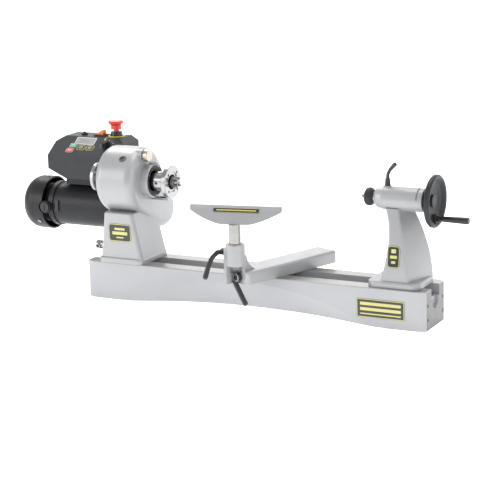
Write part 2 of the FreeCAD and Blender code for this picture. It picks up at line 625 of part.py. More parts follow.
def panel_box(x, s, half_x, half_s, low, high):
    shape = box(-half_x, half_x, -half_s, half_s, low, high)
    shape = softened(shape, edges_where(shape, vertical), min(half_x, half_s) * 0.3)
    shape.Placement = panel_placement(x, s)
    return shape


KEYS = {"stop_key": (-506.0, 19.0), "start_key": (-503.0, 35.0),
        "direction_key": (-480.0, 29.0), "display_key": (-457.0, 30.0)}
KEY_HALF_X, KEY_HALF_S = 8.0, 5.5
SCREEN = (-478.0, 51.0, 23.0, 8.5)
KNOB = (-418.0, 41.0)
RESET_X, RESET_Y = -500.0, 118.0
ROCKER_X, ROCKER_Y = -455.0, 117.0
ESTOP_X, ESTOP_Y = -419.0, 125.0


def box_block(inset, bottom):
    """The control box's outer form, shrunk by a wall thickness."""
    front, back = BOX_FRONT + inset, BOX_BACK - inset
    slope_in = inset / math.cos(PANEL_TILT)
    nose = BOX_NOSE - slope_in + inset * math.tan(PANEL_TILT)
    top = BOX_TOP - inset
    knee = BOX_FRONT + (top - BOX_NOSE + slope_in) / math.tan(PANEL_TILT)
    side = polygon([(BOX_LEFT + inset, front, bottom), (BOX_LEFT + inset, front, nose),
                    (BOX_LEFT + inset, knee, top), (BOX_LEFT + inset, back, top),
                    (BOX_LEFT + inset, back, bottom)])
    block = side.extrude(Vector(BOX_RIGHT - BOX_LEFT - 2 * inset, 0, 0))
    ends = []
    for x, sign in ((BOX_LEFT + inset, 1), (BOX_RIGHT - inset, -1)):
        ends.append(polygon([(x - sign, 0, top + 5), (x + sign * 18, 0, top + 5), (x + sign * 18, 0, top),
                             (x, 0, top - 11), (x - sign, 0, top - 11)]).extrude(Vector(0, 200, 0)))
        cut = 47 if sign > 0 else 14
        ends.append(polygon([(x - sign, 0, BOX_BOTTOM - 20), (x + sign * cut, 0, BOX_BOTTOM - 20),
                             (x + sign * cut, 0, BOX_BOTTOM + inset), (x, 0, BOX_BOTTOM + inset + cut * 0.45),
                             (x - sign, 0, BOX_BOTTOM + inset + cut * 0.45)]).extrude(Vector(0, 200, 0)))
    return block.cut(ends)


def make_control_box():
    outer = box_block(0.0, BOX_BOTTOM)
    inner = box_block(3.0, BOX_BOTTOM + 3)
    shell = outer.cut(inner)
    cuts = []
    for x, s in KEYS.values():
        cuts.append(panel_box(x, s, KEY_HALF_X + GAP, KEY_HALF_S + GAP, -8, 3))
    cuts.append(panel_box(SCREEN[0], SCREEN[1], SCREEN[2] + 0.1, SCREEN[3] + 0.1, -8, 3))
    knob_hole = Part.makeCylinder(3.5, 14, Vector(0, 0, -10))
    knob_hole.Placement = panel_placement(*KNOB)
    cuts.append(knob_hole)
    for x, y, r in ((RESET_X, RESET_Y, 5.0), (ESTOP_X, ESTOP_Y, 8.2)):
        cuts.append(rod((x, y, BOX_TOP - 10), (x, y, BOX_TOP + 1), r))
    cuts.append(box(ROCKER_X - 12, ROCKER_X + 12, ROCKER_Y - 8, ROCKER_Y + 8, BOX_TOP - 10, BOX_TOP + 1))
    keep("control_box", shell.cut(cuts))
    for name, (x, s) in KEYS.items():
        cap = panel_box(x, s, KEY_HALF_X, KEY_HALF_S, -5, 1.0)
        flange = panel_box(x, s, KEY_HALF_X + 1.5, KEY_HALF_S + 1.2, -7.5, -5)
        keep(name, fuse([cap, flange]))
    keep("display", panel_box(SCREEN[0], SCREEN[1], SCREEN[2], SCREEN[3], -4.5, 0.4))
    board = panel_box(-480, 38, 48, 30, -13.6, -12)
    chips = [panel_box(x, s, 6, 5, -12, -9.5) for x, s in ((-440, 20), (-440, 50), (-515, 52))]
    keep("control_board", fuse([board] + chips))
    make_speed_knob()
    reset_base = rod((RESET_X, RESET_Y, BOX_TOP), (RESET_X, RESET_Y, BOX_TOP + 5), 7.5)
    reset_neck = rod((RESET_X, RESET_Y, BOX_TOP - 8), (RESET_X, RESET_Y, BOX_TOP), 4.9)
    reset_bore = rod((RESET_X, RESET_Y, BOX_TOP - 9), (RESET_X, RESET_Y, BOX_TOP + 6), 3.3)
    keep("breaker_body", fuse([reset_base, reset_neck]).cut(reset_bore))
    keep("breaker_button", rod((RESET_X, RESET_Y, BOX_TOP - 6), (RESET_X, RESET_Y, BOX_TOP + 7.5), 3.0))
    make_power_switch()
    make_estop()
    make_bracket()


def make_speed_knob():
    knob = fuse([Part.makeCylinder(10.5, 3, Vector(0, 0, 0.4)),
                 Part.makeCone(9.6, 8.8, 11, Vector(0, 0, 3.4))])
    flutes = [Part.makeCylinder(1.1, 12, Vector(10 * math.cos(a), 10 * math.sin(a), 3.6))
              for a in [math.radians(20 * i) for i in range(18)]]
    stem = Part.makeCylinder(3.0, 12.4, Vector(0, 0, -12))
    knob = fuse([knob.cut(flutes), stem])
    knob.Placement = panel_placement(*KNOB)
    keep("speed_knob", knob)


ROCKER_PIVOT_Z = BOX_TOP + 1.8


def make_power_switch():
    x, y = ROCKER_X, ROCKER_Y
    bezel = box(x - 14, x + 14, y - 10, y + 10, BOX_TOP, BOX_TOP + 4)
    body = box(x - 11.9, x + 11.9, y - 7.9, y + 7.9, BOX_TOP - 18, BOX_TOP)
    pocket = box(x - 11.2, x + 11.2, y - 7.2, y + 7.2, BOX_TOP - 9, BOX_TOP + 5)
    pin = rod((x, y - 8.5, ROCKER_PIVOT_Z), (x, y + 8.5, ROCKER_PIVOT_Z), 1.5 + FIT)
    keep("power_switch_body", fuse([bezel, body]).cut([pocket, pin]))
    outline = [(-9.6, -1.5), (-9.9, 3.5), (-1.0, 8.5), (6.0, 12.6), (8.6, 12.2), (9.6, 9.0), (8.4, 2.5),
               (7.0, -1.5), (3.0, -3.0), (-4.0, -3.0)]
    face = polygon([(x + dx, y - 6.8, ROCKER_PIVOT_Z + dz) for dx, dz in outline])
    rocker = face.extrude(Vector(0, 13.6, 0))
    trunnion = rod((x, y - 8.3, ROCKER_PIVOT_Z), (x, y + 8.3, ROCKER_PIVOT_Z), 1.5)
    keep("power_switch_rocker", fuse([rocker, trunnion]))


def make_estop():
    x, y, z = ESTOP_X, ESTOP_Y, BOX_TOP
    collar = fuse([rod((x, y, z), (x, y, z + 2), 15.5), cone((x, y, z + 2), (x, y, z + 11), 14, 12.5),
                   rod((x, y, z - 16), (x, y, z), 8)])
    keep("estop_collar", collar.cut(rod((x, y, z - 17), (x, y, z + 12), 6 + FIT)))
    head = fuse([rod((x, y, z - 8), (x, y, z + 17), 6),
                 cone((x, y, z + 16.5), (x, y, z + 26), 12.2, 12.6),
                 cone((x, y, z + 26), (x, y, z + 31), 12.6, 18),
                 rod((x, y, z + 31), (x, y, z + 33), 18),
                 cone((x, y, z + 33), (x, y, z + 36), 18, 16)])
    keep("estop_button", softened(head, edges_where(head, lambda e: at_height(e, z + 36)), 1.5))


def make_bracket():
    """Black saddle between the motor and the control box, screwed to the headstock's left side."""
    saddle = box(-524, DRUM_LEFT, 68, 102, MOTOR_Z + 30, BOX_BOTTOM)
    saddle = saddle.cut([rod_x(-600, -300, BELL_R + 1.1, MOTOR_Y, MOTOR_Z),
                         box(-512, -390, 72, 98, MOTOR_Z + 30, BOX_BOTTOM - 3)])
    keep("box_bracket", saddle)


# ---- headstock controls -------------------------------------------------------------------
def make_headstock_controls():
    y, z = LOCK_SHAFT_Y, LOCK_SHAFT_Z
    shaft = rod_x(-362, -300, 8, y, z)
    hub = rod_x(-392, -368, 9.5, y, z)
    neck = rod_x(-368, -362, 8, y, z)
    bar = rod((-383, y - 15, z), (-383, y + 58, z), 5)
    ball = Part.makeSphere(7, Vector(-383, y + 60, z))
    keep("headstock_lock_lever", fuse([shaft, hub, neck, bar, ball]))
    bolt = fuse([rod((SWIVEL_X, 0, WAY_TOP + 14.2), (SWIVEL_X, 0, WAY_TOP + 20), 16),
                 rod((SWIVEL_X, 0, WAY_TOP + NUT_BOTTOM), (SWIVEL_X, 0, WAY_TOP + 14.2), 10),
                 nut(SWIVEL_X, WAY_TOP + NUT_BOTTOM, WAY_TOP + NUT_TOP, 17, 9)])
    keep("headstock_pivot_bolt", bolt)
    keep("headstock_clamp_plate", clamp_plate(SWIVEL_X, 40, 10 + FIT))
    knob_left = INDEX_FACE + INDEX_TRAVEL + 0.5
    pin = fuse([rod_x(CHAMBER_RIGHT - 1, knob_left + 2, INDEX_R, INDEX_Y, INDEX_Z),
                rod_x(INDEX_FACE - 5, knob_left + 2, 7.5, INDEX_Y, INDEX_Z)])
    knob = rod_x(knob_left, knob_left + 10, 13.5, INDEX_Y, INDEX_Z)
    knob = softened(knob, knob.Edges, 1.2)
    keep("index_plunger", fuse([pin, knob]))


# ---- banjo and tool rest ------------------------------------------------------------------
BANJO_BACK, BANJO_FRONT, BANJO_HALF, BANJO_THICK = 134.5, -125.5, 29.5, 27.0
POST_A, SOCKET_R, SOCKET_TOP, POST_R = -133.0, 20.3, 86.0, 12.7
CAM_H = 13.5
POST_LEVER_H = 63.0
UNDERCUT_H, UNDERCUT_R = 40.0, 8.0     # underside of the socket's overhanging front


def banjo_frame(shape):
    """Moves a shape from the banjo's own frame (+X along the arm, origin at its pivot)."""
    shape.Placement = Placement(BANJO_PIVOT, Rotation(Vector(0, 0, 1), BANJO_ANGLE))
    return shape


def make_banjo():
    plan = rectangle(BANJO_FRONT, BANJO_BACK, -BANJO_HALF, BANJO_HALF)
    arm = prism(rounded_section(plan, 6, 0), BANJO_THICK)
    arm = softened(arm, edges_where(arm, lambda e: at_height(e, BANJO_THICK)), 5)
    socket = rod((POST_A, 0, 0), (POST_A, 0, SOCKET_TOP), SOCKET_R)
    socket = softened(socket, edges_where(socket, lambda e: at_height(e, SOCKET_TOP)), 2)
    neck = polygon([(POST_A, -14, 0), (POST_A, -14, 60), (POST_A + 18, -14, 60), (POST_A + 23, -14, 42),
                    (POST_A + 34, -14, 31), (POST_A + 56, -14, 20), (POST_A + 56, -14, 0)]).extrude(
                        Vector(0, 28, 0))
    web = box(POST_A - 14, BANJO_FRONT + 14, 11, 24, 0, SOCKET_TOP - 10)
    web = softened(web, edges_where(web, vertical), 4)
    ear = rod((POST_A, 8, POST_LEVER_H), (POST_A, 26, POST_LEVER_H), 9)
    body = fuse([arm, socket, neck, web, ear])
    round_a, round_h = BANJO_FRONT - UNDERCUT_R, UNDERCUT_H - UNDERCUT_R
    under_front = fuse([box(POST_A - 30, BANJO_FRONT, -40, 11, -1, round_h),
                        box(POST_A - 30, round_a, -40, 11, round_h - 1, UNDERCUT_H),
                        rod((round_a, -40, round_h), (round_a, 11, round_h), UNDERCUT_R)])
    slot = box(-42, 92, -13, 13, -1, BANJO_THICK - 4.5)
    cuts = [under_front, slot,
            rod((POST_A, 0, BANJO_THICK - 5), (POST_A, 0, SOCKET_TOP + 1), POST_R + FIT),
            rod((BANJO_FRONT - 1, 0, CAM_H), (110, 0, CAM_H), 8 + FIT),
            rod((POST_A, 0, POST_LEVER_H), (POST_A, 27, POST_LEVER_H), 4 + FIT)]
    keep("banjo_casting", banjo_frame(body.cut(cuts)))

    shaft = rod((BANJO_FRONT - 7, 0, CAM_H), (108, 0, CAM_H), 8)
    collar = rod((BANJO_FRONT - 9, 0, CAM_H), (BANJO_FRONT - 0.5, 0, CAM_H), 10)
    socket_mark = rod((BANJO_FRONT - 10, 0, CAM_H), (BANJO_FRONT - 6, 0, CAM_H), 5)
    screw_head = rod((BANJO_FRONT - 8, 0, CAM_H), (BANJO_FRONT - 6, 0, CAM_H), 3.4)
    neck_end = (BANJO_FRONT - 6, 4, CAM_H - 14)
    grip_start, grip_end = (BANJO_FRONT - 6, 5, CAM_H - 13), (BANJO_FRONT - 8, -26, CAM_H - 51)
    neck = rod((BANJO_FRONT - 5, 1, CAM_H - 4), neck_end, 4)
    grip = rod(grip_start, grip_end, 5.6)
    ends = [Part.makeSphere(5.6, Vector(*grip_start)), Part.makeSphere(5.9, Vector(*grip_end))]
    lever = fuse([shaft, collar.cut(socket_mark), screw_head, neck, grip] + ends)
    keep("banjo_cam_lever", banjo_frame(lever))

    eye = rod((-9, 0, CAM_H), (9, 0, CAM_H), 11.5).common(box(-9, 9, -12, 12, 1, BANJO_THICK - 5.2))
    stem = rod((0, 0, NUT_BOTTOM), (0, 0, 6), 7)
    hexagon = nut(0, NUT_BOTTOM, NUT_TOP, 13, 6.9)
    eye_bolt = fuse([eye, stem, hexagon]).cut(rod((-10, 0, CAM_H), (10, 0, CAM_H), 8 + FIT))
    keep("banjo_eye_bolt", banjo_frame(eye_bolt))
    keep("banjo_clamp_plate", clamp_plate(BANJO_PIVOT.x, 34, 7 + FIT))

    screw = rod((POST_A, POST_R + 0.3, POST_LEVER_H), (POST_A, 27, POST_LEVER_H), 4)
    hub = cone((POST_A, 26.5, POST_LEVER_H), (POST_A, 42, POST_LEVER_H), 9, 7)
    arm_points = [(POST_A, 36, POST_LEVER_H), (POST_A - 17, 38, POST_LEVER_H + 1),
                  (POST_A - 31, 39, POST_LEVER_H - 8), (POST_A - 41, 40, POST_LEVER_H - 25),
                  (POST_A - 50, 40, POST_LEVER_H - 46)]
    keep("post_lock_lever", banjo_frame(fuse([screw, hub, bent_rod(arm_points, [5.8, 5.0, 4.8, 5.2, 5.6])])))
    make_tool_rest()


REST_ANGLE = 10.4
REST_LENGTH = 198.0
REST_BOTTOM, REST_TOP = WAY_TOP + 127.5, WAY_TOP + 163.5
REST_TOP_SET_BACK = 15.0
POST_FOOT = WAY_TOP + 56.0


def post_centre():
    a = math.radians(BANJO_ANGLE)
    return BANJO_PIVOT + Vector(POST_A * math.cos(a), POST_A * math.sin(a), 0)


def make_tool_rest():
    centre = post_centre()
    post = rod((centre.x, centre.y, POST_FOOT), (centre.x, centre.y, REST_BOTTOM), POST_R)
    post = softened(post, edges_where(post, lambda e: at_height(e, POST_FOOT)), 1.5, True)
    keep("tool_rest_post", post)
    height = REST_TOP - REST_BOTTOM
    half = REST_LENGTH / 2
    back = REST_TOP_SET_BACK
    outline = [(-7, 0), (7, 0), (back + 2, height - 3), (back + 3, height), (back - 4, height),
               (back - 5, height - 3), (back - 6, height - 7)]
    section = polygon([(-half, y, z) for y, z in outline])
    blade = section.extrude(Vector(REST_LENGTH, 0, 0))

    def front(x, z):
        return Vector(x, -20, z)

    knee, flank = half * 0.36, half * 0.74
    silhouette = Part.Wire([
        Part.LineSegment(front(-half, height + 1), front(-half, height - 10)).toShape(),
        Part.Arc(front(-half, height - 10), front(-flank, height * 0.36), front(-knee, 0.8)).toShape(),
        Part.Arc(front(-knee, 0.8), front(0, -1.5), front(knee, 0.8)).toShape(),
        Part.Arc(front(knee, 0.8), front(flank, height * 0.36), front(half, height - 10)).toShape(),
        Part.LineSegment(front(half, height - 10), front(half, height + 1)).toShape(),
        Part.LineSegment(front(half, height + 1), front(-half, height + 1)).toShape(),
    ])
    rest = blade.common(Part.Face(silhouette).extrude(Vector(0, 60, 0)))
    rest.Placement = Placement(Vector(centre.x, centre.y, REST_BOTTOM), Rotation(Vector(0, 0, 1), REST_ANGLE))
    keep("tool_rest", rest)


# ---- tailstock ----------------------------------------------------------------------------
BARREL_R, BARREL_LEFT, BARREL_RIGHT = 24.5, 273.0, 379.0
QUILL_R, QUILL_LEFT, QUILL_RIGHT = 12.5, 269.0, 375.0
SCREW_R = 6.0
QUILL_LOCK_X = 297.0
TAIL_CAM_X, TAIL_CAM_H = TAIL_X, 16.0


def make_tailstock():
    base = prism(rounded_section(rectangle(266, 382, -50.5, 50.5), 20, WAY_TOP), 13)
    base = softened(base, edges_where(base, lambda e: at_height(e, WAY_TOP + 13)), 5)
    sections = [
        (WAY_TOP + 8, ((295, -44), (357, -44), (382, 43), (290, 43)), 5),
        (WAY_TOP + 37, ((302, -42), (354, -42), (380, 42), (294, 42)), 5),
        (WAY_TOP + 97, ((310, -33), (342, -33), (369, 36), (300, 34)), 5),
        (WAY_TOP + 160, ((298, -20), (328, -20), (348, 20), (295, 20)), 5),
    ]
    column = Part.makeLoft([rounded_section(list(c), r, z) for z, c, r in sections], True)
    barrel = turned_x([(BARREL_LEFT, 0), (BARREL_LEFT, 18.5), (BARREL_LEFT + 5, 22),
                       (BARREL_LEFT + 17, BARREL_R), (BARREL_RIGHT, BARREL_R), (BARREL_RIGHT, 0)])
    lock_boss = rod((QUILL_LOCK_X, 0, AXIS_Z + 15), (QUILL_LOCK_X, 0, AXIS_Z + BARREL_R + 1), 8)
    body = fuse([base, column, barrel, lock_boss])
    slot = ring_x(366.5, 369.5, BARREL_R + 1, BARREL_R - 2.5).common(
        box(360, 375, -30, 0, AXIS_Z + 4, AXIS_Z + 30))
    cuts = [rod_x(BARREL_LEFT - 1, BARREL_RIGHT + 1, QUILL_R + FIT), slot,
            rod((QUILL_LOCK_X, 0, AXIS_Z), (QUILL_LOCK_X, 0, AXIS_Z + 30), 4 + FIT),
            rod((TAIL_X, 0, WAY_TOP - 1), (TAIL_X, 0, WAY_TOP + 30), 16),
            rod((TAIL_CAM_X, -30, WAY_TOP + TAIL_CAM_H), (TAIL_CAM_X, 60, WAY_TOP + TAIL_CAM_H), 8 + FIT)]
    keep("tailstock_casting", body.cut(cuts))

    z = WAY_TOP + TAIL_CAM_H
    shaft = rod((TAIL_CAM_X, -28, z), (TAIL_CAM_X, 58, z), 8)
    hub = rod((TAIL_CAM_X, 58, z), (TAIL_CAM_X, 70, z), 11)
    handle = bent_rod([(TAIL_CAM_X, 64, z), (TAIL_CAM_X + 4, 66, z + 30), (TAIL_CAM_X, 72, z + 66)],
                      [5.5, 5.5, 7.0])
    keep("tailstock_cam_lever", fuse([shaft, hub, handle]))
    eye = rod((TAIL_X, -9, z), (TAIL_X, 9, z), 11.5)
    stem = rod((TAIL_X, 0, WAY_TOP + NUT_BOTTOM), (TAIL_X, 0, z - 8), 7)
    hexagon = nut(TAIL_X, WAY_TOP + NUT_BOTTOM, WAY_TOP + NUT_TOP, 13, 6.9)
    bolt = fuse([eye, stem, hexagon]).cut(rod((TAIL_X, -10, z), (TAIL_X, 10, z), 8 + FIT))
    keep("tailstock_eye_bolt", bolt)
    keep("tailstock_clamp_plate", clamp_plate(TAIL_X, 34, 7 + FIT))

    quill = rod_x(QUILL_LEFT, QUILL_RIGHT, QUILL_R)
    taper = cone_x(QUILL_LEFT - 0.01, QUILL_LEFT + 46, TAPER_MOUTH_R, TAPER_MOUTH_R - 46 * TAPER_SLOPE)
    keyway = box(QUILL_LOCK_X - 7, QUILL_LOCK_X + 57, -4.3, 4.3, AXIS_Z + 11, AXIS_Z + 14)
    keep("quill", quill.cut([taper, keyway, rod_x(QUILL_LEFT + 40, QUILL_RIGHT + 1, SCREW_R + FIT)]))

    lever_z = AXIS_Z + BARREL_R + 1
    stem = rod((QUILL_LOCK_X, 0, AXIS_Z + 11.3), (QUILL_LOCK_X, 0, lever_z + 1), 4)
    hub = cone((QUILL_LOCK_X, 0, lever_z + 0.4), (QUILL_LOCK_X, 0, lever_z + 15), 6.2, 5)
    arm = bent_rod([(QUILL_LOCK_X, 0, lever_z + 12), (QUILL_LOCK_X + 1, -1, lever_z + 24),
                    (QUILL_LOCK_X + 7, -4, lever_z + 34), (QUILL_LOCK_X + 19, -8, lever_z + 46)],
                   [4.2, 3.4, 3.6, 4.6])
    keep("quill_lock_lever", fuse([stem, hub, arm]))
    make_tail_handwheel()
    make_live_centre()


HANDLE_Z, GRIP_END = AXIS_Z - 36, 472.0
WHEEL_R = 54.3


def make_tail_handwheel():
    wheel = turned_x([(379.4, 6.5), (379.4, 17), (386, 18.5), (392, 40), (394, WHEEL_R - 3), (397, WHEEL_R),
                      (403, WHEEL_R), (406, WHEEL_R - 3), (405, WHEEL_R - 7), (398, 41), (394.5, 28),
                      (393, 16), (394, 12), (394, 6.5)])
    boss = rod_x(393, 404, 9, 0, HANDLE_Z)
    wheel = fuse([wheel, boss]).cut(rod_x(390, 405, 4 + FIT, 0, HANDLE_Z))
    keep("tailstock_handwheel", wheel)
    screw = fuse([rod_x(316, 394, SCREW_R), cone_x(394, 397.5, 9.5, 8)])
    keep("quill_screw", screw.cut(ring_x(QUILL_RIGHT + 4, QUILL_RIGHT + 5.5, SCREW_R + 1, SCREW_R - 0.8)))
    grip = fuse([rod_x(404.4, 409, 6.4, 0, HANDLE_Z), cone_x(409, GRIP_END - 4, 5.6, 7.2, 0, HANDLE_Z),
                 rod_x(GRIP_END - 4, GRIP_END, 7.2, 0, HANDLE_Z)])
    grip = softened(grip, edges_where(grip, lambda e: across_x(e, GRIP_END)), 1.5)
    keep("handwheel_grip", fuse([grip, rod_x(391, 404.5, 4, 0, HANDLE_Z)]))


CENTRE_TIP, BEARING_HOUSING = 237.0, (249.0, 268.6)


def make_live_centre():
    shank_r = TAPER_MOUTH_R - 0.05
    shank = cone_x(QUILL_LEFT, QUILL_LEFT + 38, shank_r, shank_r - 38 * TAPER_SLOPE)
    left, right = BEARING_HOUSING
    housing = turned_x([(left, 11.05), (left, 14), (left + 2.5, 17.5), (left + 6, 18.9), (left + 12, 18.9),
                        (left + 16, 16), (right, 12.5), (right, 0), (right - 4, 0), (right - 4, 11.05)])
    neck = rod_x(right, QUILL_LEFT + 0.01, shank_r)
    keep("live_centre_body", fuse([housing, neck, shank]))
    keep("live_centre_point", turned_x([(CENTRE_TIP, 0), (CENTRE_TIP, 0.3), (left - 1, 7.8), (left - 1, 11),
                                        (right - 4.5, 11), (right - 4.5, 0)]))


def main():
    make_bed()
    make_headstock()
    make_belt_door()
    make_spindle()
    make_motor()
    make_belt()
    make_control_box()
    make_headstock_controls()
    make_banjo()
    make_tailstock()
    os.makedirs("parts", exist_ok=True)
    for old in os.listdir("parts"):
        os.remove(os.path.join("parts", old))
    for name, shape in PARTS.items():
        ok = shape.isValid() and all(s.isClosed() for s in shape.Solids) and len(shape.Solids) > 0
        print(f"{name}: {len(shape.Solids)} solid(s), {shape.Volume / 1000:.1f} cm3{'' if ok else '  BAD'}")
        shape.exportStep(os.path.join("parts", name + ".step"))
    print(len(PARTS), "nodes")


main()
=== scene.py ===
import json
import math

import bmesh
import bpy
from mathutils import Matrix, Vector
from mathutils.bvhtree import BVHTree


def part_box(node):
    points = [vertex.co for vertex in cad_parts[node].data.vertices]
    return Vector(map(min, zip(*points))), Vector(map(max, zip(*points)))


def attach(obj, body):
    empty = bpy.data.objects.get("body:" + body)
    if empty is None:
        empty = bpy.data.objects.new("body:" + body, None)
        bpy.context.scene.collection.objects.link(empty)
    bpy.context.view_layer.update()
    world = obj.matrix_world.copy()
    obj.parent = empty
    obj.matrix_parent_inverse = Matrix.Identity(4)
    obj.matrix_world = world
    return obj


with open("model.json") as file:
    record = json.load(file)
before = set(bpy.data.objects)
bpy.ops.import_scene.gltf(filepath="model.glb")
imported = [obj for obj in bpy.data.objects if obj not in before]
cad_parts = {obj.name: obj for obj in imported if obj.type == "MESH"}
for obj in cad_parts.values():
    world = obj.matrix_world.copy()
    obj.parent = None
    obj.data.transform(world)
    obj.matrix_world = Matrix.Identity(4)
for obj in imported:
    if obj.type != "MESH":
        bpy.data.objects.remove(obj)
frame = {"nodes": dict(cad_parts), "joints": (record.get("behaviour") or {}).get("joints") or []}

NODES = frame["nodes"]
JOINTS = {j["name"]: j for j in frame["joints"]}
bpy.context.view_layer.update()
MM = 0.001
BACKWARD, RIGHTWARD, UPWARD = (0, 1, 0), (1, 0, 0), (0, 0, 1)

# ---- places read from the frame -----------------------------------------------------------
BED_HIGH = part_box("bed_casting")[1]
WAY_TOP = BED_HIGH.z
AXIS_Z = JOINTS["spindle_spin"]["pos_m"][2]
MOTOR_Y, MOTOR_Z = JOINTS["motor_spin"]["pos_m"][1:]
BOX_LOW, BOX_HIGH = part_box("control_box")
PANEL_NORMAL = Vector(JOINTS["speed_knob_turn"]["axis"])
KNOB_AT = Vector(JOINTS["speed_knob_turn"]["pos_m"])
PANEL_UP = Vector((0, PANEL_NORMAL.z, -PANEL_NORMAL.y))
POST_X, POST_Y = JOINTS["rest_swivel"]["pos_m"][:2]
REST_ANGLE = math.radians(10.4)     # the tool rest's turn on its post

# ---- sizes of the added pieces, in millimetres ----------------------------------------------
# A pair with LIFT in its name is a slab's bottom and top, measured from the face that it is on.
PLATE_LIFT, PRINT_LIFT, PLATE_MARGIN = (-0.4, 0.6), (0.5, 0.8), 1.2
MARK_LIFT, LEGEND_LIFT, KEY_MARK_LIFT, DIGIT_LIFT = (-0.2, 0.35), (-0.2, 0.3), (-0.2, 0.25), (-0.2, 0.15)
KEY_TOP, SCREEN_TOP, KNOB_TOP = 1.0, 0.4, 14.4              # above the panel
KNOB_SCALE_R, KNOB_SCALE_STEP = 15.5, 30                    # ring of ticks, and degrees between them
DIGIT_COUNT, DIGIT_PITCH = 4, 8.4
BOX_SCREW_INSET, BOX_SCREW_Z = 9, 284
COMMUTATOR_RIGHT = -523.0                                   # the rotor is copper to the left of this
FAN_SCREW_X, FAN_SCREW_R, FAN_SCREW_TURNS = -581.0, 60.8, (214.6, 334.6, 94.6)
LEAD_TAB_X, LEAD_TAB_RISE = -533, 3
CAN_BANDS_X, CAN_BAND_OUTER_R, CAN_BAND_INNER_R = (-541.5, -381.5), 49.1, 48.2
CAM_HUB_LENGTH = 4.5
LOCK_BAR_X, LOCK_BAR_HOLE_R = -383.0, 1.6
NOSE_SCREW_X, NOSE_SCREW_R, NOSE_SCREW_TURNS = -248.1, 31.8, (30, 150, 270)
WHEEL_HUB_X, HUB_CAP_R, HUB_CAP_HOLE_R = 394.0, 13.0, 9.8


# ---- node materials -----------------------------------------------------------------------
class Shader:
    """A material's node tree with a few shorthand calls."""

    def __init__(self, name):
        self.material = bpy.data.materials.new(name)
        self.material.use_nodes = True
        self.tree = self.material.node_tree
        self.bsdf = self.tree.nodes["Principled BSDF"]
        self.coords = self.node("ShaderNodeTexCoord").outputs["Object"]

    MIX_SOCKETS = {"RGBA": (6, 7, 2), "FLOAT": (2, 3, 0)}      # the two inputs and the output

    def node(self, kind, **settings):
        made = self.tree.nodes.new(kind)
        for key, value in settings.items():
            setattr(made, key, value)
        return made

    def plug(self, socket, value):
        """Link a socket to a socket, or give it a plain value."""
        if isinstance(value, bpy.types.NodeSocket):
            self.tree.links.new(value, socket)
        elif value is not None:
            socket.default_value = value

    def set(self, **sockets):
        """Fill the shader's own sockets, named with _ for a space."""
        for key, value in sockets.items():
            self.plug(self.bsdf.inputs[key.replace("_", " ")], value)

    def stretched(self, scale):
        """Object coordinates scaled along each axis."""
        mapping = self.node("ShaderNodeMapping")
        mapping.inputs["Scale"].default_value = scale
        self.tree.links.new(self.coords, mapping.inputs["Vector"])
        return mapping.outputs["Vector"]

    def noise(self, scale, detail=3.0, stretch=None, roughness=0.55):
        texture = self.node("ShaderNodeTexNoise")
        texture.inputs["Scale"].default_value = scale
        texture.inputs["Detail"].default_value = detail
        texture.inputs["Roughness"].default_value = roughness
        self.plug(texture.inputs["Vector"], self.stretched(stretch) if stretch else self.coords)
        return texture.outputs["Fac"]

    def math(self, operation, a, b):
        made = self.node("ShaderNodeMath", operation=operation)
        self.plug(made.inputs[0], a)
        self.plug(made.inputs[1], b)
        return made.outputs[0]

    def span(self, value, low, high, to_low=0.0, to_high=1.0):
        """Map low..high to to_low..to_high, held at both ends."""
        made = self.node("ShaderNodeMapRange")
        for i, v in enumerate((value, low, high, to_low, to_high)):
            self.plug(made.inputs[i], v)
        return made.outputs[0]

    def mix(self, factor, a, b, kind="RGBA"):
        first, second, result = self.MIX_SOCKETS[kind]
        made = self.node("ShaderNodeMix", data_type=kind)
        self.plug(made.inputs[0], factor)
        self.plug(made.inputs[first], a)
        self.plug(made.inputs[second], b)
        return made.outputs[result]

    def axes(self, vector=None):
        made = self.node("ShaderNodeSeparateXYZ")
        self.plug(made.inputs[0], vector or self.coords)
        return made.outputs

    def normal_axes(self):
        return self.axes(self.node("ShaderNodeNewGeometry").outputs["Normal"])

    def worn_edges(self, size):
        """1 along convex edges, 0 elsewhere, from how far a bevelled normal turns."""
        bevel = self.node("ShaderNodeBevel", samples=4)
        bevel.inputs["Radius"].default_value = size
        plain = self.node("ShaderNodeNewGeometry").outputs["Normal"]
        dot = self.node("ShaderNodeVectorMath", operation="DOT_PRODUCT")
        self.tree.links.new(bevel.outputs[0], dot.inputs[0])
        self.tree.links.new(plain, dot.inputs[1])
        return self.span(dot.outputs["Value"], 0.995, 0.90)

    def bump(self, height, strength, distance, rounding=None):
        made = self.node("ShaderNodeBump")
        made.inputs["Strength"].default_value = strength
        made.inputs["Distance"].default_value = distance
        self.plug(made.inputs["Height"], height)
        if rounding:
            bevel = self.node("ShaderNodeBevel", samples=4)
            bevel.inputs["Radius"].default_value = rounding
            self.tree.links.new(bevel.outputs[0], made.inputs["Normal"])
        self.tree.links.new(made.outputs[0], self.bsdf.inputs["Normal"])


def rgb(r, g, b):
    return (r, g, b, 1.0)


def shade(tone, factor, lift=0.0):
    """A tone made lighter or darker, no brighter than white."""
    return rgb(*[min(1.0, c * factor + lift) for c in tone])


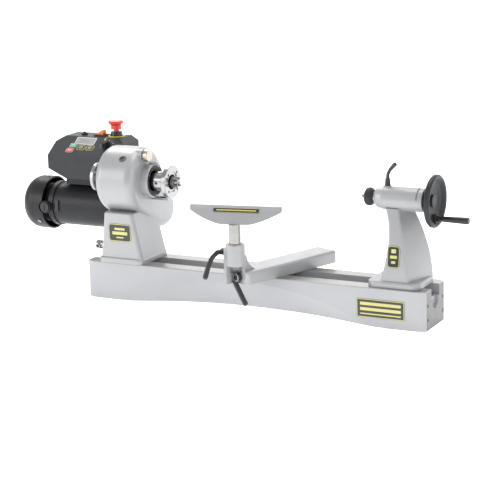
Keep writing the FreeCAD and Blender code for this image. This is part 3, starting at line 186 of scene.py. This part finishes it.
def cast_paint(name, tone, machined_above=None, dark_end=None):
    """Silver-grey sprayed casting: fine orange peel, slow colour drift, lighter rubbed edges.

    Bare steel shows on top faces above one height, and dark milled iron on the right end face.
    """
    s = Shader(name)
    drift = s.noise(7.0, 2.0)
    fleck = s.noise(2600.0, 1.0)
    base = s.mix(s.span(drift, 0.35, 0.65), shade(tone, 0.95), shade(tone, 1.04))
    base = s.mix(s.span(fleck, 0.60, 0.75, 0.0, 0.35), base, shade(tone, 1.30))
    base = s.mix(s.math("MULTIPLY", s.worn_edges(1.2 * MM), 0.35), base, shade(tone, 1.2))
    rough = s.span(s.noise(60.0, 3.0), 0.3, 0.7, 0.33, 0.43)
    metal = 0.25
    peel = s.math("ADD", s.noise(420.0, 2.0), s.math("MULTIPLY", s.noise(95.0, 3.0), 1.2))
    if machined_above is not None:
        z = s.axes()[2]
        up = s.normal_axes()[2]
        ground = s.math("MULTIPLY", s.span(z, machined_above - 0.4 * MM, machined_above - 0.2 * MM),
                        s.span(up, 0.9, 0.97))
        scratches = s.noise(70.0, 5.0, stretch=(1.0, 26.0, 1.0))
        stain = s.noise(14.0, 3.0)
        steel = s.mix(s.span(scratches, 0.3, 0.7), rgb(0.25, 0.245, 0.235), rgb(0.36, 0.352, 0.335))
        steel = s.mix(s.span(stain, 0.5, 0.72, 0.0, 0.5), steel, rgb(0.27, 0.25, 0.225))
        base = s.mix(ground, base, steel)
        rough = s.mix(ground, rough, s.span(scratches, 0.3, 0.7, 0.24, 0.42), "FLOAT")
        metal = s.span(ground, 0.0, 1.0, 0.25, 0.9)
    if dark_end is not None:
        x = s.axes()[0]
        right = s.normal_axes()[0]
        milled = s.math("MULTIPLY", s.span(x, dark_end - 1.0 * MM, dark_end - 0.5 * MM),
                        s.span(right, 0.9, 0.97))
        marks = s.noise(60.0, 4.0, stretch=(1.0, 1.0, 22.0))
        iron = s.mix(s.span(marks, 0.3, 0.7), rgb(0.085, 0.085, 0.083), rgb(0.14, 0.14, 0.136))
        base = s.mix(milled, base, iron)
    s.set(Base_Color=base, Roughness=rough, Metallic=metal)
    s.set(Coat_Weight=0.25, Coat_Roughness=0.22)
    s.bump(peel, 0.10, 0.25 * MM, rounding=0.9 * MM)
    return s.material


def turned_steel(name, tone, axis, rough=(0.14, 0.30), rounding=0.4, lines=900.0):
    """Steel with fine tool marks around one axis."""
    s = Shader(name)
    stretch = [0.02, 0.02, 0.02]
    stretch["xyz".index(axis)] = 1.0
    marks = s.noise(lines, 4.0, stretch=tuple(stretch))
    smears = s.noise(38.0, 3.0)
    base = s.mix(s.span(smears, 0.3, 0.7), shade(tone, 0.86), rgb(*tone))
    base = s.mix(s.span(marks, 0.55, 0.8, 0.0, 0.3), base, shade(tone, 0.6))
    s.set(Base_Color=base, Metallic=1.0, Roughness=s.span(s.math("ADD", marks, smears), 0.7, 1.3, *rough))
    s.bump(marks, 0.10, 0.10 * MM, rounding=rounding * MM)
    return s.material


def black_paint(name, tone=(0.011, 0.0115, 0.013), rough=(0.32, 0.44)):
    """Satin black sprayed metal with dust, faint handling marks and bright rubbed edges."""
    s = Shader(name)
    cloud = s.noise(16.0, 4.0)
    dust = s.noise(750.0, 2.0)
    base = s.mix(s.span(cloud, 0.3, 0.7), rgb(*tone), shade(tone, 1.8))
    base = s.mix(s.span(dust, 0.66, 0.76, 0.0, 0.25), base, rgb(0.16, 0.16, 0.165))
    base = s.mix(s.math("MULTIPLY", s.worn_edges(0.7 * MM), 0.18), base, rgb(0.22, 0.22, 0.22))
    s.set(Base_Color=base, Roughness=s.span(cloud, 0.3, 0.7, *rough), Specular_IOR_Level=0.27)
    s.set(Coat_Weight=0.04, Coat_Roughness=0.3)
    s.bump(s.noise(380.0, 3.0), 0.07, 0.2 * MM, rounding=0.6 * MM)
    return s.material


def moulded(name, tone, rough=0.42, grain=1500.0, depth=0.16, drift=0.15, gloss=0.0):
    """Moulded plastic with spark-eroded grain and slight tone drift."""
    s = Shader(name)
    patch = s.noise(26.0, 3.0)
    speck = s.noise(grain, 2.0)
    base = s.mix(s.span(patch, 0.3, 0.7), shade(tone, 1 - drift), shade(tone, 1 + drift))
    base = s.mix(s.math("MULTIPLY", s.worn_edges(0.5 * MM), 0.25), base, shade(tone, 1.7, 0.02))
    s.set(Base_Color=base, Roughness=s.span(speck, 0.3, 0.7, rough - 0.05, rough + 0.07))
    s.set(Coat_Weight=gloss, Coat_Roughness=0.12)
    s.bump(speck, depth, 0.12 * MM, rounding=0.45 * MM)
    return s.material


def rubbery(name, tone=(0.02, 0.02, 0.02)):
    """Matt rubber with ribs across the belt."""
    s = Shader(name)
    ribs = s.node("ShaderNodeTexWave", bands_direction="X")
    ribs.inputs["Scale"].default_value = 130.0
    s.tree.links.new(s.coords, ribs.inputs["Vector"])
    speck = s.noise(600.0, 3.0)
    base = s.mix(s.span(speck, 0.3, 0.7), rgb(*tone), shade(tone, 2.2))
    s.set(Base_Color=base, Roughness=0.72)
    s.bump(ribs.outputs["Fac"], 0.5, 0.5 * MM)
    return s.material


def circuit_board(name):
    """Green board with lighter tracks."""
    s = Shader(name)
    tracks = s.node("ShaderNodeTexBrick")
    tracks.inputs["Scale"].default_value = 260.0
    tracks.inputs["Mortar Size"].default_value = 0.03
    tracks.inputs["Color1"].default_value = rgb(0.02, 0.12, 0.05)
    tracks.inputs["Color2"].default_value = rgb(0.02, 0.16, 0.06)
    tracks.inputs["Mortar"].default_value = rgb(0.05, 0.26, 0.10)
    s.tree.links.new(s.coords, tracks.inputs["Vector"])
    s.set(Base_Color=tracks.outputs["Color"], Roughness=0.35)
    s.bump(tracks.outputs["Fac"], 0.2, 0.1 * MM)
    return s.material


def laminations(name):
    """Stacked steel sheets of the rotor, with its copper commutator at the left."""
    s = Shader(name)
    stack = s.node("ShaderNodeTexWave", bands_direction="X")
    stack.inputs["Scale"].default_value = 300.0
    s.tree.links.new(s.coords, stack.inputs["Vector"])
    x = s.axes()[0]
    copper = s.math("LESS_THAN", x, COMMUTATOR_RIGHT * MM)
    steel = s.mix(stack.outputs["Fac"], rgb(0.22, 0.21, 0.20), rgb(0.40, 0.39, 0.38))
    s.set(Base_Color=s.mix(copper, steel, rgb(0.60, 0.30, 0.14)), Metallic=1.0,
          Roughness=s.span(s.noise(300.0), 0.3, 0.7, 0.3, 0.5))
    s.bump(stack.outputs["Fac"], 0.3, 0.1 * MM)
    return s.material


def screen(name):
    """Grey liquid crystal window behind a clear, slightly dusty cover."""
    s = Shader(name)
    haze = s.noise(120.0, 3.0)
    base = s.mix(s.span(haze, 0.3, 0.7), rgb(0.33, 0.34, 0.33), rgb(0.42, 0.43, 0.41))
    s.set(Base_Color=base, Roughness=s.span(haze, 0.3, 0.7, 0.14, 0.24), Coat_Weight=0.8, Coat_Roughness=0.08)
    s.bump(s.noise(900.0, 1.0), 0.02, 0.1 * MM)
    return s.material


BED_PAINT = cast_paint("bed_paint", (0.385, 0.39, 0.405), machined_above=WAY_TOP, dark_end=BED_HIGH.x)
CASTING_PAINT = cast_paint("casting_paint", (0.37, 0.375, 0.385))
MOTOR_BLACK = black_paint("motor_black")
WHEEL_BLACK = black_paint("wheel_black", tone=(0.018, 0.019, 0.021), rough=(0.40, 0.52))
BOX_PLASTIC = moulded("box_plastic", (0.015, 0.0175, 0.022), rough=0.52)
BLACK_PLASTIC = moulded("black_plastic", (0.013, 0.013, 0.014), rough=0.36, gloss=0.1)
LEVER_PLASTIC = moulded("lever_plastic", (0.02, 0.02, 0.022), rough=0.34, gloss=0.15)
STEEL_X = turned_steel("steel_x", (0.46, 0.46, 0.465), "x")
STEEL_Y = turned_steel("steel_y", (0.30, 0.30, 0.305), "y")
STEEL_Z = turned_steel("steel_z", (0.55, 0.55, 0.56), "z")
BRIGHT_X = turned_steel("bright_steel_x", (0.43, 0.43, 0.435), "x", rough=(0.16, 0.30))
BRIGHT_Z = turned_steel("bright_steel_z", (0.36, 0.355, 0.345), "z", rough=(0.10, 0.22))
KNOB_STEEL = turned_steel("knob_steel", (0.56, 0.51, 0.44), "x", rough=(0.22, 0.36))
PULLEY_ALLOY = turned_steel("pulley_alloy", (0.66, 0.66, 0.68), "x", rough=(0.22, 0.38))
KEY_RED = moulded("key_red", (0.62, 0.13, 0.11), rough=0.38, gloss=0.2)
KEY_GREEN = moulded("key_green", (0.16, 0.42, 0.25), rough=0.38, gloss=0.2)
KEY_DARK = moulded("key_dark", (0.055, 0.055, 0.058), rough=0.40)
STOP_RED = moulded("stop_red", (0.72, 0.035, 0.02), rough=0.28, depth=0.05, gloss=0.4)
ROCKER_ORANGE = moulded("rocker_orange", (0.80, 0.22, 0.02), rough=0.30, depth=0.05, gloss=0.3)
WARNING_YELLOW = moulded("warning_yellow", (0.78, 0.68, 0.04), rough=0.35, depth=0.05, drift=0.06)
LABEL_DARK = moulded("label_dark", (0.022, 0.025, 0.022), rough=0.30, depth=0.03, gloss=0.3)
LABEL_YELLOW = moulded("label_yellow", (0.60, 0.56, 0.20), rough=0.32, depth=0.03, drift=0.06, gloss=0.3)
DIGIT_GREY = moulded("digit_grey", (0.16, 0.165, 0.16), rough=0.4, depth=0.03)
LEGEND_WHITE = moulded("legend_white", (0.62, 0.62, 0.60), rough=0.45, depth=0.03, drift=0.05)
CARBON = moulded("carbon", (0.03, 0.03, 0.03), rough=0.6)
BELT = rubbery("belt_rubber")
BOARD = circuit_board("circuit_board")
ARMATURE = laminations("armature_steel")
SCREEN = screen("display_screen")

NODE_MATERIALS = {
    BED_PAINT: ["bed_casting"],
    CASTING_PAINT: ["headstock_casting", "belt_door", "banjo_casting", "tool_rest", "tailstock_casting"],
    MOTOR_BLACK: ["nose_ring", "motor_can", "motor_front_bell", "motor_rear_bell", "motor_fan_cover",
                  "box_bracket"],
    WHEEL_BLACK: ["tailstock_handwheel", "live_centre_body"],
    BLACK_PLASTIC: ["brush_caps", "motor_fan", "speed_knob", "breaker_body", "breaker_button",
                    "power_switch_body", "estop_collar", "handwheel_grip"],
    LEVER_PLASTIC: ["banjo_cam_lever", "post_lock_lever", "tailstock_cam_lever", "quill_lock_lever"],
    BOX_PLASTIC: ["control_box"],
    STEEL_X: ["spindle_stop_peg", "belt_door_hinge", "spindle_bearings", "headstock_lock_lever",
              "quill_screw", "live_centre_point"],
    STEEL_Y: ["front_plug"],
    STEEL_Z: ["headstock_pivot_bolt", "headstock_clamp_plate", "banjo_eye_bolt", "banjo_clamp_plate",
              "tailstock_eye_bolt", "tailstock_clamp_plate"],
    BRIGHT_X: ["spindle", "spindle_handwheel", "faceplate", "spur_centre", "quill"],
    KNOB_STEEL: ["index_plunger"],
    BRIGHT_Z: ["tool_rest_post"],
    PULLEY_ALLOY: ["spindle_pulley", "motor_pulley"],
    KEY_RED: ["stop_key"], KEY_GREEN: ["start_key"], KEY_DARK: ["direction_key", "display_key"],
    STOP_RED: ["estop_button"], ROCKER_ORANGE: ["power_switch_rocker"],
    CARBON: ["carbon_brushes"], BELT: ["drive_belt"], BOARD: ["control_board"], ARMATURE: ["motor_rotor"],
    SCREEN: ["display"],
}
for material, names in NODE_MATERIALS.items():
    for name in names:
        slots = NODES[name].data.materials
        slots.clear()
        slots.append(material)


# ---- small pieces ---------------------------------------------------------------------------
def surface(node, start_mm, direction):
    """Point and normal where a ray first meets a CAD node; the start is in millimetres."""
    mesh = NODES[node].data
    tree = BVHTree.FromPolygons([v.co for v in mesh.vertices], [f.vertices for f in mesh.polygons])
    hit = tree.ray_cast(Vector(start_mm) * MM, Vector(direction))
    return hit[0], hit[1]


def plane(origin, across, normal):
    """Matrix from millimetres on a face (across, up, out) to metres in the frame."""
    n = Vector(normal).normalized()
    u = (Vector(across) - n * n.dot(Vector(across))).normalized()
    matrix = Matrix((u * MM, n.cross(u) * MM, n * MM)).transposed().to_4x4()
    matrix.translation = Vector(origin)
    return matrix


def facing_right(x_mm, y, z):
    """Place on a face that looks towards the tailstock; y and z are in metres."""
    return plane((x_mm * MM, y, z), BACKWARD, RIGHTWARD)


def radial(turn):
    """Direction square to the spindle, turned by degrees from the back towards the top."""
    a = math.radians(turn)
    return Vector((0, math.cos(a), math.sin(a)))


def moved(place, u, v, turn=0.0):
    """A place shifted across and up its face by millimetres, then turned by radians."""
    return place @ Matrix.Translation((u, v, 0)) @ Matrix.Rotation(turn, 4, "Z")


def circle(r, n=32):
    return [(r * math.cos(2 * math.pi * i / n), r * math.sin(2 * math.pi * i / n)) for i in range(n)]


def rounded(width, height, r, steps=6):
    """Outline of a rounded rectangle centred on the origin."""
    points = []
    for i, (sx, sy) in enumerate(((1, 1), (-1, 1), (-1, -1), (1, -1))):
        for k in range(steps + 1):
            a = math.pi / 2 * (i + k / steps)
            points.append((sx * (width / 2 - r) + r * math.cos(a), sy * (height / 2 - r) + r * math.sin(a)))
    return points


def hexagon(r, n=24):
    """Hexagon with as many points as a circle, so the two can be joined."""
    points = []
    for i in range(n):
        a = 2 * math.pi * i / n
        flat = (a % (math.pi / 3)) - math.pi / 6
        reach = r * math.cos(math.pi / 6) / math.cos(flat)
        points.append((reach * math.cos(a), reach * math.sin(a)))
    return points


def add_slab(bm, place, outline, low, high, inner=None):
    """Prism of an outline, or of the band between two outlines with the same number of points."""
    def row(points, lift):
        return [bm.verts.new(place @ Vector((u, v, lift))) for u, v in points]

    def wall(a, b):
        for i in range(len(a)):
            j = (i + 1) % len(a)
            bm.faces.new((a[i], a[j], b[j], b[i]))

    bottom, top = row(outline, low), row(outline, high)
    wall(bottom, top)
    if inner is None:
        bm.faces.new(top)
        bm.faces.new(bottom[::-1])
    else:
        inner_bottom, inner_top = row(inner, low), row(inner, high)
        wall(inner_top, inner_bottom)
        wall(top, inner_top)
        wall(inner_bottom, bottom)


def add_screw(bm, place, r, height):
    """Round socket head with a hexagon recess."""
    add_slab(bm, place, circle(r, 24), 0.0, height, inner=hexagon(r * 0.55))
    add_slab(bm, place, hexagon(r * 0.55), 0.0, height * 0.4)


def finish_piece(name, bm, material, body, edge=0.15):
    """Turn a bmesh into a piece with softened edges that rides a body."""
    bmesh.ops.recalc_face_normals(bm, faces=bm.faces)
    mesh = bpy.data.meshes.new(name)
    bm.to_mesh(mesh)
    bm.free()
    mesh.materials.append(material)
    piece = bpy.data.objects.new(name, mesh)
    bpy.context.scene.collection.objects.link(piece)
    bevel = piece.modifiers.new("soft_edges", "BEVEL")
    bevel.width, bevel.segments, bevel.limit_method = edge * MM, 2, "ANGLE"
    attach(piece, body)
    return piece


def make_badge(name, node, body, start, direction, across, size, stripes, corner_r):
    """Blank plate with a plain border and plain stripes, stuck on a casting.

    Each stripe is its height on the plate, its length and its width.
    """
    hit, normal = surface(node, start, direction)
    place = plane(hit, across, normal)
    width, height = size
    plate = bmesh.new()
    add_slab(plate, place, rounded(width, height, corner_r), *PLATE_LIFT)
    finish_piece(name + "_plate", plate, LABEL_DARK, body)
    printing = bmesh.new()
    width, height = width - PLATE_MARGIN, height - PLATE_MARGIN
    border = min(1.4, size[1] * 0.04)
    add_slab(printing, place, rounded(width, height, corner_r * 0.9), *PRINT_LIFT,
             inner=rounded(width - 2 * border, height - 2 * border, corner_r * 0.6))
    for v, long, tall in stripes:
        add_slab(printing, moved(place, 0, v), rounded(long, tall, min(1.2, tall * 0.4)), *PRINT_LIFT)
    finish_piece(name + "_print", printing, LABEL_YELLOW, body, edge=0.05)


def make_badges():
    """Plates on the pedestal, the bed, the tailstock's column and the tool rest."""
    make_badge("pedestal_badge", "headstock_casting", "headstock", (-311, -200, 152), BACKWARD, RIGHTWARD,
               (56, 40), ((8.5, 26, 5), (-1, 38, 7), (-10.5, 18, 3)), 8)
    make_badge("bed_badge", "bed_casting", "bed", (302, -200, 39.5), BACKWARD, RIGHTWARD,
               (106, 40), ((9.5, 90, 6.5), (-2, 90, 6.5), (-12, 90, 2.6)), 1.5)
    make_badge("tail_badge", "tailstock_casting", "tailstock", (324, -200, 147), BACKWARD, RIGHTWARD,
               (28, 46), ((12, 10, 8), (0, 15, 6), (-11, 9, 5)), 10)
    turn = Matrix.Rotation(REST_ANGLE, 3, "Z")
    start = Vector((POST_X, POST_Y, 0)) / MM + turn @ Vector((2, -100, 0))
    make_badge("rest_badge", "tool_rest", "tool_rest", (start.x, start.y, 237.5), turn @ Vector(BACKWARD),
               turn @ Vector(RIGHTWARD), (100, 10), ((0, 86, 2.2),), 1.0)


def panel_place(right, up, lift=0.0):
    """Place on the control panel, measured from the speed knob's axis."""
    origin = KNOB_AT + Vector((right * MM, 0, 0)) + PANEL_UP * (up * MM) + PANEL_NORMAL * (lift * MM)
    return plane(origin, RIGHTWARD, PANEL_NORMAL)


def panel_spot(node):
    """How far a CAD node's centre is right of and up from the speed knob's axis."""
    low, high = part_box(node)
    offset = (low + high) / 2 - KNOB_AT
    return offset.x / MM, offset.dot(PANEL_UP) / MM


def make_panel_marks():
    """Ticks around the speed knob, and a frame and a small ring at each dark key."""
    marks = bmesh.new()
    for angle in range(-150, 121, KNOB_SCALE_STEP):
        tick = moved(panel_place(0, 0), 0, 0, math.radians(angle))
        add_slab(marks, moved(tick, 0, KNOB_SCALE_R), rounded(1.0, 3.6, 0.4), *MARK_LIFT)
    for node in ("direction_key", "display_key"):
        spot = panel_spot(node)
        add_slab(marks, panel_place(*spot), rounded(20.4, 15.4, 4.2), *MARK_LIFT,
                 inner=rounded(18.2, 13.2, 3.2))
        add_slab(marks, panel_place(*spot, KEY_TOP), rounded(8.5, 6.0, 2.6), *KEY_MARK_LIFT,
                 inner=rounded(5.6, 3.2, 1.4))
    finish_piece("panel_marks", marks, LABEL_YELLOW, "headstock", edge=0.05)


def make_panel_legends():
    """A bar and a frame at the stop and start keys, and a frame around the display."""
    legends = bmesh.new()
    for node in ("stop_key", "start_key"):
        spot = panel_spot(node)
        add_slab(legends, panel_place(*spot, KEY_TOP), rounded(9.0, 2.0, 0.8), *KEY_MARK_LIFT)
        add_slab(legends, panel_place(*spot), rounded(19.4, 14.0, 4.0), *LEGEND_LIFT,
                 inner=rounded(18.4, 13.0, 3.6))
    add_slab(legends, panel_place(*panel_spot("display")), rounded(52, 23, 2.5), *LEGEND_LIFT,
             inner=rounded(47.4, 18.4, 1.6))
    finish_piece("panel_legends", legends, LEGEND_WHITE, "headstock", edge=0.05)


def make_display_digits():
    """A row of zeros, each of six strokes: across, up, width and height."""
    strokes = ((0, 4.6, 4.0, 1.1), (0, -4.6, 4.0, 1.1), (-2.6, 2.3, 1.1, 3.6), (2.6, 2.3, 1.1, 3.6),
               (-2.6, -2.3, 1.1, 3.6), (2.6, -2.3, 1.1, 3.6))
    right, up = panel_spot("display")
    first = right - DIGIT_PITCH * (DIGIT_COUNT - 1) / 2
    digits = bmesh.new()
    for i in range(DIGIT_COUNT):
        place = panel_place(first + DIGIT_PITCH * i, up, SCREEN_TOP)
        for u, v, wide, tall in strokes:
            add_slab(digits, moved(place, u, v), rounded(wide, tall, 0.4, 3), *DIGIT_LIFT)
    finish_piece("display_digits", digits, DIGIT_GREY, "headstock", edge=0.03)


def make_control_details():
    """Ring under the emergency stop, the speed knob's pointer and two screws in the box's front."""
    low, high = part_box("estop_collar")
    x, y = (low.x + high.x) / 2, (low.y + high.y) / 2
    ring = bmesh.new()
    add_slab(ring, plane((x, y, BOX_HIGH.z), RIGHTWARD, UPWARD), circle(19.2, 64), -0.2, 1.6,
             inner=circle(16.4, 64))
    finish_piece("estop_warning_ring", ring, WARNING_YELLOW, "headstock", edge=0.4)
    pointer = bmesh.new()
    add_slab(pointer, moved(panel_place(0, 0, KNOB_TOP), 0, 5.0), rounded(2.4, 7.6, 1.0), -0.3, 0.5)
    finish_piece("speed_knob_pointer", pointer, WARNING_YELLOW, "speed_knob")
    screws = bmesh.new()
    for x_mm in (BOX_LOW.x / MM + BOX_SCREW_INSET, BOX_HIGH.x / MM - BOX_SCREW_INSET):
        hit, normal = surface("control_box", (x_mm, -100, BOX_SCREW_Z), BACKWARD)
        add_screw(screws, plane(hit, RIGHTWARD, normal), 2.6, 1.2)
    finish_piece("box_screws", screws, BLACK_PLASTIC, "headstock")


def make_motor_details():
    """Screws around the fan cover, the tab where the leads enter, and the can's two end bands."""
    screws = bmesh.new()
    for turn in FAN_SCREW_TURNS:
        out = radial(turn)
        at = Vector((FAN_SCREW_X * MM, MOTOR_Y, MOTOR_Z)) + out * (FAN_SCREW_R * MM)
        add_screw(screws, plane(at, RIGHTWARD, out), 4.2, 2.4)
    finish_piece("fan_cover_screws", screws, BRIGHT_X, "headstock")
    tab = bmesh.new()
    hit, normal = surface("motor_can", (LEAD_TAB_X, -100, MOTOR_Z / MM + LEAD_TAB_RISE), BACKWARD)
    add_slab(tab, plane(hit, RIGHTWARD, normal), rounded(9, 26, 1.5), -1.0, 3.0)
    finish_piece("motor_lead_tab", tab, BLACK_PLASTIC, "headstock", edge=0.5)
    bands = bmesh.new()
    for x_mm in CAN_BANDS_X:
        add_slab(bands, facing_right(x_mm, MOTOR_Y, MOTOR_Z), circle(CAN_BAND_OUTER_R, 96), -1.5, 1.5,
                 inner=circle(CAN_BAND_INNER_R, 96))
    finish_piece("motor_can_bands", bands, MOTOR_BLACK, "headstock", edge=0.3)


def make_lever_details():
    """Ring on the banjo's cam hub, and a black ring and shallow black disc on the headstock's lock bar:
    painted shade for its hollow end.
    """
    lock = JOINTS["banjo_lock"]
    ring = bmesh.new()
    hub_end = Vector(lock["pos_m"]) + Vector(lock["axis"]) * (CAM_HUB_LENGTH * MM)
    add_slab(ring, plane(hub_end, UPWARD, lock["axis"]), circle(9.4, 48), -0.3, 0.7, inner=circle(5.6, 48))
    finish_piece("cam_hub_ring", ring, STEEL_Y, "banjo_cam_lever")
    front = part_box("headstock_lock_lever")[0].y
    bar_z = JOINTS["headstock_lock"]["pos_m"][2]
    place = plane((LOCK_BAR_X * MM, front, bar_z), RIGHTWARD, (0, -1, 0))
    # Black ring and disc only 0.3 mm deep: painted shade standing in for the depth of the bar's hollow end.
    cap = bmesh.new()
    add_slab(cap, place, circle(3.6, 32), -0.3, 0.5, inner=circle(LOCK_BAR_HOLE_R, 32))
    add_slab(cap, place, circle(LOCK_BAR_HOLE_R + 0.1, 32), -0.3, 0.2)
    finish_piece("lock_bar_hollow_painted_shade", cap, BLACK_PLASTIC, "headstock_lock_lever")


def make_nose_details():
    """Three screw ends in the nose ring."""
    screws = bmesh.new()
    for turn in NOSE_SCREW_TURNS:
        out = radial(turn)
        at = Vector((NOSE_SCREW_X * MM, 0, AXIS_Z)) + out * (NOSE_SCREW_R * MM)
        add_slab(screws, plane(at, out, RIGHTWARD), circle(1.5, 20), -0.2, 0.5)
    finish_piece("nose_ring_screws", screws, STEEL_X, "headstock")


def make_wheel_details():
    """Cap over the tail handwheel's hub."""
    cap = bmesh.new()
    place = facing_right(WHEEL_HUB_X, 0, AXIS_Z)
    add_slab(cap, place, circle(HUB_CAP_R, 48), -0.4, 4.2, inner=circle(HUB_CAP_HOLE_R, 48))
    add_slab(cap, place, circle(HUB_CAP_HOLE_R + 0.1, 48), 3.6, 4.6)
    finish_piece("handwheel_cap", cap, WHEEL_BLACK, "tail_handwheel", edge=0.8)


make_badges()
make_panel_marks()
make_panel_legends()
make_display_digits()
make_control_details()
make_motor_details()
make_lever_details()
make_nose_details()
make_wheel_details()


# ---- floor, light and camera --------------------------------------------------------------
CAMERA_AZIMUTH, CAMERA_ELEVATION, CAMERA_ROLL = map(math.radians, (26.95, 13.68, -1.67))
CAMERA_DISTANCE = 3.69931
CAMERA_TARGET = Vector((-0.02273, 0.0, 0.1241))
LENS_MM, SENSOR_MM = 124.1, 36.0
FLOOR_FRONT, FLOOR_BACK, FLOOR_SIDE = -6.0, 5.0, 9.0
SWEEP_R, BACKDROP_TOP = 2.0, 8.0
SWEEP_STEPS = 10


def make_camera():
    """Camera aimed at a point on the bed, at the photograph's viewing angle."""
    sa, ca = math.sin(CAMERA_AZIMUTH), math.cos(CAMERA_AZIMUTH)
    se, ce = math.sin(CAMERA_ELEVATION), math.cos(CAMERA_ELEVATION)
    back = Vector((sa * ce, -ca * ce, se))
    right = Vector((ca, sa, 0.0))
    up = back.cross(right)
    cr, sr = math.cos(CAMERA_ROLL), math.sin(CAMERA_ROLL)
    r = right * cr + up * sr
    u = up * cr - right * sr
    data = bpy.data.cameras.new("camera")
    data.lens, data.sensor_width, data.clip_end = LENS_MM, SENSOR_MM, 50.0
    camera = bpy.data.objects.new("camera", data)
    bpy.context.scene.collection.objects.link(camera)
    camera.matrix_world = Matrix.Translation(CAMERA_TARGET + back * CAMERA_DISTANCE) @ Matrix(
        (r, u, back)).transposed().to_4x4()
    bpy.context.scene.camera = camera


def make_floor():
    """Pale floor that curves up into a backdrop far behind."""
    mesh = bpy.data.meshes.new("floor")
    bm = bmesh.new()
    profile = [(FLOOR_FRONT, 0.0), (FLOOR_BACK, 0.0)]
    for i in range(1, SWEEP_STEPS + 1):
        a = math.radians(90 * i / SWEEP_STEPS)
        profile.append((FLOOR_BACK + SWEEP_R * math.sin(a), SWEEP_R - SWEEP_R * math.cos(a)))
    profile.append((FLOOR_BACK + SWEEP_R, BACKDROP_TOP))
    rows = [[bm.verts.new((x, y, z - 0.2 * MM)) for y, z in profile] for x in (-FLOOR_SIDE, FLOOR_SIDE)]
    for i in range(len(profile) - 1):
        bm.faces.new((rows[0][i], rows[1][i], rows[1][i + 1], rows[0][i + 1]))
    bm.to_mesh(mesh)
    bm.free()
    floor = bpy.data.objects.new("floor", mesh)
    bpy.context.scene.collection.objects.link(floor)
    for polygon in mesh.polygons:
        polygon.use_smooth = True
    s = Shader("floor_paper")
    s.set(Base_Color=s.mix(s.noise(3.0), rgb(0.90, 0.90, 0.905), rgb(0.93, 0.93, 0.93)), Roughness=0.9)
    s.set(Specular_IOR_Level=0.1, Emission_Color=rgb(1.0, 1.0, 1.0), Emission_Strength=0.80)
    mesh.materials.append(s.material)


def make_light(name, place, target, size, power):
    """White rectangular lamp aimed at a point."""
    data = bpy.data.lights.new(name, "AREA")
    data.shape = "RECTANGLE"
    data.size, data.size_y = size
    data.energy = power
    light = bpy.data.objects.new(name, data)
    bpy.context.scene.collection.objects.link(light)
    light.location = place
    light.rotation_euler = (Vector(target) - Vector(place)).to_track_quat("-Z", "Y").to_euler()


def make_lighting():
    """Even white surroundings and four soft lamps."""
    world = bpy.data.worlds.new("studio")
    bpy.context.scene.world = world
    world.use_nodes = True
    background = world.node_tree.nodes["Background"]
    background.inputs["Color"].default_value = rgb(1.0, 1.0, 1.0)
    background.inputs["Strength"].default_value = 0.62
    make_light("top_light", (0.2, 0.4, 2.6), (0, 0, 0.1), (2.2, 1.2), 28)
    make_light("motor_light", (-1.75, 1.5, 2.45), (-0.45, 0.085, 0.17), (1.1, 0.9), 22)
    make_light("front_left_light", (-3.0, -2.5, 1.3), (-0.1, 0, 0.15), (2.2, 2.0), 52)
    make_light("right_light", (2.6, -0.8, 1.2), (0, 0, 0.15), (1.2, 1.6), 12)
    bpy.context.scene.view_settings.view_transform = "Standard"


make_camera()
make_floor()
make_lighting()
